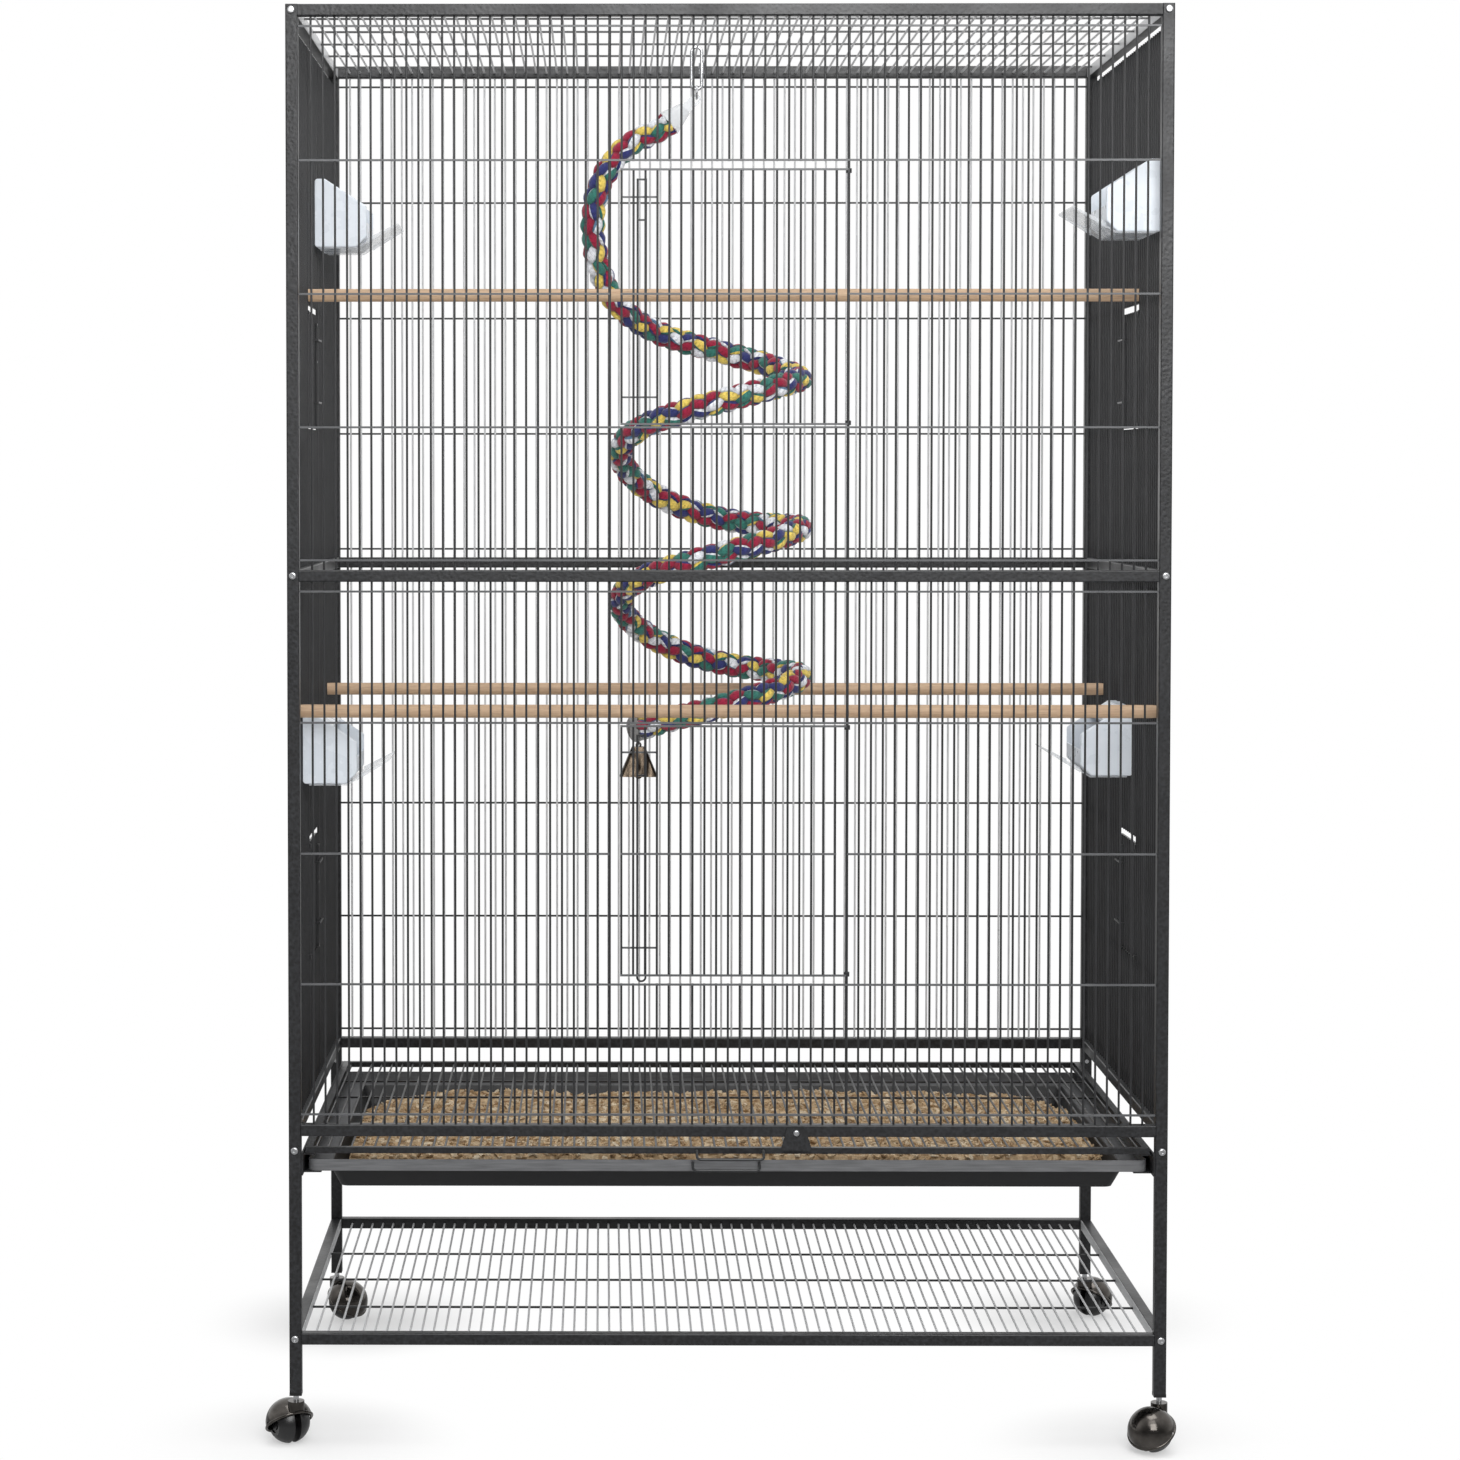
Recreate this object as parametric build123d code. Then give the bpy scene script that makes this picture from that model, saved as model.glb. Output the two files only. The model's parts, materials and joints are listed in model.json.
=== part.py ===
from build123d import *
import math
import os

# Bird cage on a rolling stand: a square-tube frame filled with welded wire panels, six wire doors,
# a slide-out grate and tray, a storage shelf, swivel casters, perches, cups and a hanging rope perch.
# Millimetres. Origin on the floor under the middle of the cage, +Z up, front towards -Y.

# Overall sizes
WIDTH = 790.0             # across the outside of the posts
DEPTH = 460.0             # front to back over the posts
HEIGHT = 1296.0           # floor to the top of the posts

# Square-tube frame
POST = 11.0
RAIL = 10.6
TUBE_WALL = 1.0
TUBE_CORNER = 1.2               # rounding along the tubes' edges
MID_RAIL_Z = 787.4
LOWER_RAIL_Z = 288.4
SHELF_Z = 99.0

# Wire work
BAR_PITCH = 10.65
BAR_D = 2.0
EDGE_BAR_D = 2.6          # the heavier bars at both sides of a door
CROSS = 1.8               # side of the square cross wires
CROSS_OFFSET = 1.6        # cross wires lie this far outside the plane of the bars
EDGE_INSET = 14.0         # first and last cross wire of a wall, from the rail's middle
CROSS_LEVELS = 5
WELD = 0.5                # how far a wire is sunk into the tube that it is welded to
ROOF_CROSS = (5, 59.4, 31.4)    # cross wires: how many, front inset, back inset
SHELF_CROSS = (3, 109.4, 123.4)

# Doors
FRONT_DOOR_BARS = (10, -10)     # hinge bar and latch-side bar, counted from the middle
SIDE_DOOR_BARS = (-8, 2)
FRONT_DOOR_LEVELS = (1, 3)      # cross wires below and above the door
SIDE_DOOR_LEVELS = (1, 2)
DOOR_NEAR_GAP = 1.1
DOOR_FAR_GAP = 6.5
SECTION_OVERHANG = 2.0          # cross wire past the edge bar of a door opening
EYE_OUTER_D = 5.2
EYE_HEIGHT = 4.0
EYE_PLAY = 0.08                 # radial play of a hinge eye on its bar
LATCH_D = 1.8
LATCH_INSET = 14.3              # from the door's free edge to the latch
LATCH_WIDTH = 7.5
LATCH_PLANE = 2.4               # latch behind the plane of the bars
LATCH_LIFT = 6.0
LATCH_CLEAR = 0.6               # raised latch above the cross wire that it drops behind
LATCH_TIE_SPACING = 36.0
LATCH_BEND_RELIEF = 0.05        # short straight left between the latch's two bends
GUIDE_WIRE = 1.6
GUIDE_PLANE = 4.7
GUIDE_INSET = 24.0              # from the door's ends
GUIDE_SPAN = 3                  # in bar pitches

# Grate, tray and their runners
GRATE_GAP = 12.7                # lower rail down to the grate
GRATE_RAIL_H = 5.4
GRATE_RAIL_T = 6.0
GRATE_RECESS = 14.0             # behind the front of the posts
GRATE_BACK_GAP = 16.0
GRATE_SIDE_GAP = 3.0            # to the inside of the posts
GRATE_CROSS = 4
TRAY_GAP = 5.6                  # grate down to the tray's rim
TRAY_RIM_H = 10.4
TRAY_BODY_H = 19.5
TRAY_SHEET = 1.0
TRAY_SIDE_GAP = 5.0
TRAY_RIM_STEP = 18.0
TRAY_SLOPE = 9.0
TRAY_CORNER = 8.0
SLIDE_GAP = 0.3
RUNNER_SHEET = 1.5
RUNNER_GRATE_LEDGE = 11.0
RUNNER_TRAY_LEDGE = 17.0
RUNNER_END_GAP = 2.0
PULL_WIRE_D = 2.5
PULL_WIDTH = 60.0
PULL_REACH = 15.0
PULL_ROOT = 4.0                 # straight run before the pull slopes down
PULL_DROP = 5.0
PULL_BEND = 4.0
GRATE_PULL_X = 2.5
TRAY_PULL_X = -1.3
TRAY_PULL_DROP = 1.6            # below the top of the tray's rim

# Keeper that hangs in front of the grate
KEEPER_X = 61.4
KEEPER_PIVOT_DROP = 1.4         # pivot below the middle of the lower rail
KEEPER_TOP = (8.0, 5.0)         # half width, height above the pivot
KEEPER_BASE_HALF = 14.5
KEEPER_FLOOR_GAP = 0.6          # above the grate's front rail
KEEPER_SHEET = 1.2
SCREW_D = 4.0
SCREW_HEAD_D = 5.6
SCREW_HEAD_H = 2.2
SCREW_PLAY = 0.05

# Frame bolts
BOLT_D = 4.0
BOLT_HEAD_D = 6.6
BOLT_HEAD_H = 2.2
BOLT_HOLE_PLAY = 0.1
BOLT_SOCKET = 2.5
HEAD_ROUND = 0.6                # rounding of a bolt's or screw's head, as a share of its height
BOLT_RUNNER_DROP = 18.4         # runner bolts below the middle of the lower rail

# Casters
CASTER_WHEEL_D = 38.0           # the two wheels are halves of one ball
CASTER_WHEEL_W = 12.5
CASTER_RISE = 12.3              # top of the wheels up to the foot of the posts
CASTER_TRAIL = 14.0
CASTER_DISH = (8.0, 5.5, 1.0)   # ring sunk in a wheel's face: outer and inner radius, depth
CASTER_WEB = 5.2
CASTER_SIDE_GAP = 0.4
CASTER_HOOD_GAP = 1.0
CASTER_HOOD_SHEET = 1.5
CASTER_HOOD_TILT = 36.0         # degrees, lower behind the wheels
CASTER_RIM = (0.3, 1.3)         # bead round the hood's mouth: how far in from its edge, thickness radius
CASTER_BOSS_D = 15.0
CASTER_AXLE_D = 6.0
CASTER_STEM_D = 5.0
CASTER_STEM_GRIP = 12.0         # stem inside the post's plug
CASTER_STEM_SHOW = 5.5          # bare stem between plug and hood
CASTER_SOCKET = 6.0             # stem inside the hood
CASTER_FIT = 0.06               # radial play of stem and axle
PLUG_FLANGE = 3.0
PLUG_DEPTH = 15.0
PLUG_PLAY = 0.1
SWIVEL_GAP = 0.3
CASTER_TRAIL_DEGREES = {"front_left": 122.0, "front_right": 233.0, "back_left": 323.0, "back_right": 50.0}

# Perches: bar that each one straddles, wall (upper or lower), cross wire that it rests on
PERCH_D = 12.0
PERCH_SLOT_PLAY = 0.4
PERCH_TIP_GAP = 1.0
SEAT_GAP = 0.3
PERCHES = {"upper_perch": (-7, "upper", 2), "front_lower_perch": (-17, "lower", 3),
           "back_lower_perch": (12, "lower", 3)}

# Feeder cups: side, bar behind the middle, wall
FEEDERS = {"left_upper_feeder": (-1, 3, "upper"), "right_upper_feeder": (1, -15, "upper"),
           "left_lower_feeder": (-1, -10, "lower"), "right_lower_feeder": (1, -2, "lower")}
FEEDER_LEVEL = 3
FEEDER_WIDTH = 92.0
FEEDER_DEPTH = 50.0
FEEDER_DROP = 62.0              # cross wire down to the cup's bottom
FEEDER_WALL = 1.8
FEEDER_SHOULDER = 10.0
FEEDER_SLOPE = 26.0
FEEDER_CHAMFER = 10.0
FEEDER_HOOD = 28.0              # closed hood, measured from the wall
FEEDER_FRONT_H = 24.0
FEEDER_ROUND = 3.0              # rounding of the cup's outer edges
HOOK_W = 5.0
HOOK_T = 2.0
HOOK_LIP = 6.0
HOOK_BARS = 2.5                 # hooks beside the middle, in bar pitches
SHIELD_T = 1.5
SHIELD_REACH = 80.0
SHIELD_RISE = 23.0
SHIELD_START = 6.0
SHIELD_CHEEK = (8.0, 3.0)       # upper and lower edge of the scoop's cheeks, above the cup's bottom

# Rope perch, a stiff cotton rope wound in a hanging spiral
ROPE_D = 25.0
ROPE_AXIS = (-8.0, 20.0)
ROPE_RADIUS = 87.0
ROPE_END_Z = 635.0
ROPE_FALL = 0.40                # per degree of turn
ROPE_BACK_DROOP = (18.5, 8.5)   # the turns hang lower at the back than at the front
ROPE_FIRST_ANGLE = 250.0        # turn angles where the spiral starts and ends
ROPE_LAST_ANGLE = 1091.0
ROPE_ZERO_HEADING = 250.0       # heading at turn angle zero
ROPE_QUARTER = 90.0
ROPE_TOP_HEADING = (-0.75, 0.0, -0.66)
ROPE_LEAD = (((-116.0, 30.0, 1132.0), (0.02, 0.10, -0.99)),     # places and headings before the spiral
             ((-88.0, 77.0, 1042.0), (0.60, 0.40, -0.69)),
             ((-8.0, 105.0, 1003.0), (0.97, 0.02, -0.24)))
ROPE_LINK_BAR = -2              # roof bar that carries the link
ROPE_LINK_Y = 45.0
LINK_WIRE_D = 3.2
LINK_WIDTH = 13.0
LINK_HEIGHT = 44.0
LINK_NUT_D = 5.8
LINK_NUT_H = 10.0
HANG_RING_R = 6.0               # ring between the link and the cap
HANG_RING_D = 2.2
CAP_FOOT_D = 27.0
CAP_NECK_D = 13.0
CAP_H = 22.0
CAP_TAB_T = 2.2
CAP_TAB_W = 10.0
CAP_EYE_D = 5.6
CAP_ROPE_REACH = 35.0           # cap's eye to the rope's end
END_CAP_D = 24.0
END_CAP_H = 12.0

# Cowbell
BELL_FOOT = (36.0, 25.0)
BELL_CROWN = (13.0, 10.0)
BELL_H = 28.0
BELL_SHEET = 1.0
BELL_CORNER = 3.0
RING_R = 2.2                    # middle radius of the eye and of the bell's loop
RING_WIRE_D = 1.4
RING_PLAY = 0.2
RING_DROP = 0.5                 # eye's middle below the end cap
BELL_CROWN_DROP = 1.6           # loop's middle above the bell's crown
CLAPPER_RING_R = 1.6
CLAPPER_EYE_R = 2.2
CLAPPER_WIRE_D = 1.2
CLAPPER_BALL_D = 7.0
CLAPPER_BALL_RISE = 0.5

# Places that follow from the sizes above
HALF_W = WIDTH / 2
HALF_D = DEPTH / 2
INNER_W = HALF_W - POST
INNER_D = HALF_D - POST
SIDE_BAR_X = HALF_W - RAIL / 2
FRONT_BAR_Y = HALF_D - RAIL / 2
TOP_RAIL_Z = HEIGHT - RAIL / 2
WIDE_BARS = int((INNER_W - BAR_D) // BAR_PITCH)
SIDE_BARS = int((INNER_D - BAR_D) // BAR_PITCH)
WALLS = {"upper": (MID_RAIL_Z, TOP_RAIL_Z), "lower": (LOWER_RAIL_Z, MID_RAIL_Z)}
GRATE_TOP = LOWER_RAIL_Z - RAIL / 2 - GRATE_GAP
GRATE_FLOOR = GRATE_TOP - GRATE_RAIL_H
TRAY_TOP = GRATE_FLOOR - TRAY_GAP
TRAY_STEP_Z = TRAY_TOP - TRAY_RIM_H
TRAY_FLOOR = TRAY_STEP_Z - TRAY_BODY_H
FRONT_FACE = -HALF_D + GRATE_RECESS
BACK_FACE = HALF_D - GRATE_BACK_GAP
WHEEL_R = CASTER_WHEEL_D / 2
LEG_FOOT = CASTER_WHEEL_D + CASTER_RISE
CORNERS = {"front_left": (-1, -1), "front_right": (1, -1), "back_left": (-1, 1), "back_right": (1, 1)}


def block(low, high):
    """A box between two opposite corners."""
    size = [b - a for a, b in zip(low, high)]
    middle = [(a + b) / 2 for a, b in zip(low, high)]
    return Pos(*middle) * Box(*size)


def rod(start, end, diameter):
    """A round rod between two points."""
    direction = Vector(*end) - Vector(*start)
    plane = Plane(origin=start, z_dir=direction)
    return extrude(plane * Circle(diameter / 2), direction.length)


def fuse(shapes):
    """Weld shapes that overlap into one."""
    first, *rest = shapes
    return first.fuse(*rest)


def swept_wire(points, bends, diameter):
    """A bent wire: straight runs joined by round bends."""
    path = FilletPolyline(*points, radius=bends)
    start = Plane(origin=path @ 0, z_dir=path % 0)
    return sweep(start * Circle(diameter / 2), path=path)


def ring(middle, radius, wire, axis):
    """A closed wire ring round the given axis."""
    return Plane(origin=middle, z_dir=axis) * Torus(radius, wire / 2)


os.makedirs("parts", exist_ok=True)


def save(name, *shapes):
    """Write the solids of one node."""
    solids = [solid for shape in shapes for solid in shape.solids()]
    export_step(solids[0] if len(solids) == 1 else Compound(solids), f"parts/{name}.step")


# Frame tubes

def square_tube(low, high, axis):
    """A square tube, open at both ends, along axis 0, 1 or 2."""
    hollow_low = [a if i == axis else a + TUBE_WALL for i, a in enumerate(low)]
    hollow_high = [b if i == axis else b - TUBE_WALL for i, b in enumerate(high)]
    bar = block(low, high)
    bar = fillet(bar.edges().filter_by((Axis.X, Axis.Y, Axis.Z)[axis]), TUBE_CORNER)
    return bar - block(hollow_low, hollow_high)


def wide_rail(side, z):
    """A rail along the front (side -1) or the back (side 1)."""
    y = sorted((side * HALF_D, side * (HALF_D - RAIL)))
    return square_tube((-INNER_W, y[0], z - RAIL / 2), (INNER_W, y[1], z + RAIL / 2), 0)


def side_rail(side, z):
    """A rail along the left (side -1) or the right (side 1)."""
    x = sorted((side * HALF_W, side * (HALF_W - RAIL)))
    return square_tube((x[0], -INNER_D, z - RAIL / 2), (x[1], INNER_D, z + RAIL / 2), 1)


def rail_ring(z):
    return [make(side, z) for make in (wide_rail, side_rail) for side in (-1, 1)]


BOLT_LEVELS = (TOP_RAIL_Z, MID_RAIL_Z, LOWER_RAIL_Z - BOLT_RUNNER_DROP, SHELF_Z)


def post(side_x, side_y):
    """A corner post, closed on top, with a hole through it for each bolt."""
    x = sorted((side_x * HALF_W, side_x * INNER_W))
    y = sorted((side_y * HALF_D, side_y * INNER_D))
    tube = block((x[0], y[0], LEG_FOOT), (x[1], y[1], HEIGHT))
    tube = fillet(tube.edges().filter_by(Axis.Z), TUBE_CORNER)
    tube -= block((x[0] + TUBE_WALL, y[0] + TUBE_WALL, LEG_FOOT),
                  (x[1] - TUBE_WALL, y[1] - TUBE_WALL, HEIGHT - TUBE_WALL))
    for z in BOLT_LEVELS:
        hole_d = BOLT_D + 2 * BOLT_HOLE_PLAY
        tube -= rod((side_x * SIDE_BAR_X, y[0] - 1, z), (side_x * SIDE_BAR_X, y[1] + 1, z), hole_d)
    return tube


def bolt(side_x, side_y, z):
    """A domed bolt with a hexagon socket, through the post into the side rail's end."""
    face = side_y * HALF_D
    seat = Plane(origin=(side_x * SIDE_BAR_X, face, z), z_dir=(0, side_y, 0))
    head = extrude(seat * Circle(BOLT_HEAD_D / 2), BOLT_HEAD_H)
    rim = head.edges().filter_by(GeomType.CIRCLE).sort_by_distance((0, 0, z))[-1]
    head = fillet(rim, BOLT_HEAD_H * HEAD_ROUND)
    shank = extrude(seat * Circle(BOLT_D / 2), -(POST + TUBE_WALL))
    socket = extrude(seat.offset(BOLT_HEAD_H) * RegularPolygon(BOLT_SOCKET / 2, 6, major_radius=False),
                     -BOLT_HEAD_H / 2)
    return head + shank - socket


for corner, (side_x, side_y) in CORNERS.items():
    save(f"post_{corner}", post(side_x, side_y))
save("mid_rails", *rail_ring(MID_RAIL_Z))
save("lower_rails", *rail_ring(LOWER_RAIL_Z))
save("frame_bolts", *[bolt(x, y, z) for x, y in CORNERS.values() for z in BOLT_LEVELS])


# Wire panels. A wall is made standing in the XZ plane, with its outside towards -Y.

def upright(x, low, high, diameter=BAR_D):
    return Pos(x, 0, (low + high) / 2) * Cylinder(diameter / 2, high - low)


def cross_wire(left, right, z):
    return Pos((left + right) / 2, -CROSS_OFFSET, z) * Box(right - left, CROSS, CROSS)


def cross_levels(wall):
    low_rail, high_rail = WALLS[wall]
    low = low_rail + EDGE_INSET
    step = (high_rail - EDGE_INSET - low) / (CROSS_LEVELS - 1)
    return [low + i * step for i in range(CROSS_LEVELS)]


def plain_wall(wall, bars, half_width):
    """A wall without a door, welded in one piece."""
    low, high = WALLS[wall][0] + RAIL / 2, WALLS[wall][1] - RAIL / 2
    wires = [upright(k * BAR_PITCH, low, high) for k in range(-bars, bars + 1)]
    return fuse(wires + [cross_wire(-half_width, half_width, z) for z in cross_levels(wall)])


def door_wall(wall, bars, half_width, door_bars, door_levels, open_top=False):
    """A wall with a door opening: the sections left, right, below and above the door.

    With an open top the bars stop at the highest cross wire, short of the rail above.
    """
    levels = cross_levels(wall)
    low = WALLS[wall][0] + RAIL / 2
    high = levels[-1] + CROSS / 2 if open_top else WALLS[wall][1] - RAIL / 2
    first, last = sorted(door_bars)
    below, above = levels[door_levels[0]], levels[door_levels[1]]
    sections = []
    for side, edge_bar, ks in ((-1, first, range(-bars, first)), (1, last, range(last + 1, bars + 1))):
        edge = edge_bar * BAR_PITCH
        wires = [upright(k * BAR_PITCH, low, high) for k in ks] + [upright(edge, low, high, EDGE_BAR_D)]
        for z in levels:
            inner = edge if below < z < above else edge - side * SECTION_OVERHANG
            wires.append(cross_wire(*sorted((side * half_width, inner)), z))
        sections.append(fuse(wires))
    span = (first * BAR_PITCH + SECTION_OVERHANG, last * BAR_PITCH - SECTION_OVERHANG)
    for bottom, top in ((low, below + CROSS / 2), (above - CROSS / 2, high)):
        wires = [upright(k * BAR_PITCH, bottom, top) for k in range(first + 1, last)]
        wires += [cross_wire(*span, z) for z in levels if bottom < z < top]
        sections.append(fuse(wires))
    return Compound([solid for section in sections for solid in section.solids()])


FRONT_PLACE = Pos(0, -FRONT_BAR_Y, 0)
BACK_PLACE = Pos(0, FRONT_BAR_Y, 0) * Rot(0, 0, 180)
RIGHT_PLACE = Pos(SIDE_BAR_X, 0, 0) * Rot(0, 0, 90)

for wall in WALLS:
    save(f"front_{wall}_panel",
         FRONT_PLACE * door_wall(wall, WIDE_BARS, INNER_W, FRONT_DOOR_BARS, FRONT_DOOR_LEVELS))
    save(f"back_{wall}_panel", BACK_PLACE * plain_wall(wall, WIDE_BARS, INNER_W))
    right_panel = RIGHT_PLACE * door_wall(wall, SIDE_BARS, INNER_D, SIDE_DOOR_BARS, SIDE_DOOR_LEVELS,
                                          open_top=wall == "upper")
    save(f"right_{wall}_panel", right_panel)
    save(f"left_{wall}_panel", mirror(right_panel, about=Plane.YZ))


def rack(z, cross_plan, cross_side):
    """A level frame of four rails filled with bars: the roof and the shelf."""
    count, front_inset, back_inset = cross_plan
    inner_y = HALF_D - RAIL
    inner_x = HALF_W - RAIL
    wires = rail_ring(z)
    for k in range(-WIDE_BARS, WIDE_BARS + 1):
        wires.append(rod((k * BAR_PITCH, -inner_y - WELD, z), (k * BAR_PITCH, inner_y + WELD, z), BAR_D))
    step = (2 * inner_y - front_inset - back_inset) / (count - 1)
    for i in range(count):
        y = -inner_y + front_inset + i * step
        z_wire = z + cross_side * CROSS_OFFSET
        wires.append(block((-inner_x - WELD, y - CROSS / 2, z_wire - CROSS / 2),
                           (inner_x + WELD, y + CROSS / 2, z_wire + CROSS / 2)))
    return fuse(wires)


save("roof_panel", rack(TOP_RAIL_Z, ROOF_CROSS, 1))
save("storage_shelf", rack(SHELF_Z, SHELF_CROSS, -1))


# Doors and latches. A door is made with its hinge bar on the Z axis, free edge towards +X,
# outside towards -Y, and its lowest wire at height zero.

def door_reach(door_bars):
    return (abs(door_bars[1] - door_bars[0]) - 1) * BAR_PITCH


def guide(reach, z):
    """A staple behind the bars that the latch slides in."""
    far = reach - GUIDE_SPAN * BAR_PITCH
    half = GUIDE_WIRE / 2
    bridge = block((far - half, GUIDE_PLANE - half, z - half), (reach + half, GUIDE_PLANE + half, z + half))
    ends = [block((x - half, 0, z - half), (x + half, GUIDE_PLANE + half, z + half)) for x in (far, reach)]
    return [bridge] + ends


def door(door_bars, height, middle_wires):
    reach = door_reach(door_bars)
    free_edge = reach + BAR_D / 2
    count = abs(door_bars[1] - door_bars[0])
    wires = [upright(k * BAR_PITCH, -CROSS / 2, height + CROSS / 2) for k in range(1, count)]
    wires += [cross_wire(0, free_edge, z) for z in (0, height)]
    wires += [cross_wire(BAR_PITCH - BAR_D / 2, free_edge, z) for z in middle_wires]
    eyes = ((-CROSS / 2, EYE_HEIGHT - CROSS / 2), (height + CROSS / 2 - EYE_HEIGHT, height + CROSS / 2))
    wires += [upright(0, low, high, EYE_OUTER_D) for low, high in eyes]
    for z in (GUIDE_INSET, height - GUIDE_INSET):
        wires += guide(reach, z)
    hinge_bore = upright(0, -EYE_HEIGHT, height + EYE_HEIGHT, EDGE_BAR_D + 2 * EYE_PLAY)
    return fuse(wires) - hinge_bore


def latch(door_bars, height, foot_gap):
    """A hairpin of wire, drawn up so that its foot is just above the wall's cross wire."""
    reach = door_reach(door_bars)
    left, right = reach - LATCH_INSET - LATCH_WIDTH, reach - LATCH_INSET
    foot = -foot_gap - CROSS / 2 + LATCH_CLEAR + LATCH_D / 2
    top = height - LATCH_LIFT - LATCH_D
    bend = LATCH_WIDTH / 2 - LATCH_BEND_RELIEF
    hairpin = swept_wire([(left, LATCH_PLANE, top), (left, LATCH_PLANE, foot), (right, LATCH_PLANE, foot),
                          (right, LATCH_PLANE, top)], bend, LATCH_D)
    half = GUIDE_WIRE / 2
    ties = [block((left, LATCH_PLANE - half, z - half), (right, LATCH_PLANE + half, z + half))
            for z in (top - half, top - half - LATCH_TIE_SPACING)]
    return fuse([hairpin] + ties)


def door_set(wall, door_bars, door_levels, foot_gap, head_gap):
    """A door and its latch, and the height of the door's lowest wire."""
    levels = cross_levels(wall)
    below, above = levels[door_levels[0]], levels[door_levels[1]]
    sill = below + CROSS + foot_gap
    height = above - CROSS - head_gap - sill
    middle = [z - sill for z in levels if below < z < above]
    return door(door_bars, height, middle), latch(door_bars, height, foot_gap), sill


FRONT_DOOR_GAPS = {"upper": (DOOR_NEAR_GAP, DOOR_FAR_GAP), "lower": (DOOR_FAR_GAP, DOOR_NEAR_GAP)}
for wall in WALLS:
    leaf, pin, sill = door_set(wall, FRONT_DOOR_BARS, FRONT_DOOR_LEVELS, *FRONT_DOOR_GAPS[wall])
    hinge = Pos(FRONT_DOOR_BARS[0] * BAR_PITCH, -FRONT_BAR_Y, sill)
    save(f"{wall}_door", hinge * mirror(leaf, about=Plane.YZ))
    save(f"{wall}_door_latch", hinge * mirror(pin, about=Plane.YZ))
    leaf, pin, sill = door_set(wall, SIDE_DOOR_BARS, SIDE_DOOR_LEVELS, DOOR_NEAR_GAP, DOOR_FAR_GAP)
    hinge = Pos(SIDE_BAR_X, SIDE_DOOR_BARS[0] * BAR_PITCH, sill) * Rot(0, 0, 90)
    for name, shape in ((f"{wall}_door", leaf), (f"{wall}_door_latch", pin)):
        save(f"right_{name}", hinge * shape)
        save(f"left_{name}", mirror(hinge * shape, about=Plane.YZ))


# Grate, tray, pulls and runners

def pull(x, z):
    """A wire pull that stands out from the front of the grate or the tray and slopes down."""
    left, right = x - PULL_WIDTH / 2, x + PULL_WIDTH / 2
    face, root, out = FRONT_FACE, FRONT_FACE - PULL_ROOT, FRONT_FACE - PULL_REACH
    low = z - PULL_DROP
    return swept_wire([(left, face, z), (left, root, z), (left, out, low), (right, out, low),
                       (right, root, z), (right, face, z)], PULL_BEND, PULL_WIRE_D)


def floor_grate():
    half = INNER_W - GRATE_SIDE_GAP
    z = (GRATE_TOP + GRATE_FLOOR) / 2
    frame = block((-half, FRONT_FACE, GRATE_FLOOR), (half, BACK_FACE, GRATE_TOP))
    front_inner, back_inner = FRONT_FACE + GRATE_RAIL_T, BACK_FACE - GRATE_RAIL_T
    side_inner = half - GRATE_RAIL_T
    frame -= block((-side_inner, front_inner, GRATE_FLOOR), (side_inner, back_inner, GRATE_TOP))
    wires = [frame]
    for k in range(-WIDE_BARS, WIDE_BARS + 1):
        x = k * BAR_PITCH
        if abs(x) + BAR_D < side_inner:
            wires.append(rod((x, front_inner - WELD, z), (x, back_inner + WELD, z), BAR_D))
    step = (back_inner - front_inner) / (GRATE_CROSS + 1)
    for i in range(1, GRATE_CROSS + 1):
        y = front_inner + i * step
        wires.append(block((-side_inner - WELD, y - CROSS / 2, z - CROSS_OFFSET - CROSS / 2),
                           (side_inner + WELD, y + CROSS / 2, z - CROSS_OFFSET + CROSS / 2)))
    return fuse(wires)


def pan(inset):
    """The tray's outline: a sloped body under a wider rim, drawn in by the inset."""
    half = INNER_W - TRAY_SIDE_GAP - inset
    front, back = FRONT_FACE + inset, BACK_FACE - inset
    middle_y = (front + back) / 2
    corner = TRAY_CORNER - inset
    rim_size = (2 * half, back - front)
    waist_size = [side - 2 * TRAY_RIM_STEP for side in rim_size]
    foot_size = [side - 2 * TRAY_SLOPE for side in waist_size]
    rim = Pos(0, middle_y, TRAY_STEP_Z + inset) * RectangleRounded(*rim_size, corner)
    waist = Pos(0, middle_y, TRAY_STEP_Z + inset) * RectangleRounded(*waist_size, corner)
    foot = Pos(0, middle_y, TRAY_FLOOR + inset) * RectangleRounded(*foot_size, corner)
    return extrude(rim, TRAY_RIM_H) + loft([foot, waist])


def runner(side):
    """A folded runner between two posts, with a ledge for the grate and one for the tray."""
    outer = INNER_W
    web = outer - RUNNER_SHEET
    tray_ledge_z = TRAY_STEP_Z - SLIDE_GAP
    grate_ledge_z = GRATE_FLOOR - SLIDE_GAP
    end = HALF_D - RUNNER_END_GAP
    shape = block((web, -end, tray_ledge_z - RUNNER_SHEET), (outer, end, GRATE_FLOOR + GRATE_RAIL_H / 2))
    for z, width in ((grate_ledge_z, RUNNER_GRATE_LEDGE), (tray_ledge_z, RUNNER_TRAY_LEDGE)):
        shape += block((outer - width, FRONT_FACE + RUNNER_END_GAP, z - RUNNER_SHEET), (web, end, z))
    return shape if side > 0 else mirror(shape, about=Plane.YZ)


save("floor_grate", floor_grate())
save("grate_pull", pull(GRATE_PULL_X, (GRATE_TOP + GRATE_FLOOR) / 2))
save("litter_tray", pan(0.0) - pan(TRAY_SHEET))
save("tray_pull", pull(TRAY_PULL_X, TRAY_TOP - TRAY_PULL_DROP))
save("tray_runners", runner(-1), runner(1))


# Keeper and its screw on the lower front rail

KEEPER_Z = LOWER_RAIL_Z - KEEPER_PIVOT_DROP
KEEPER_BACK = -HALF_D - SLIDE_GAP
KEEPER_FRONT = KEEPER_BACK - KEEPER_SHEET


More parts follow.
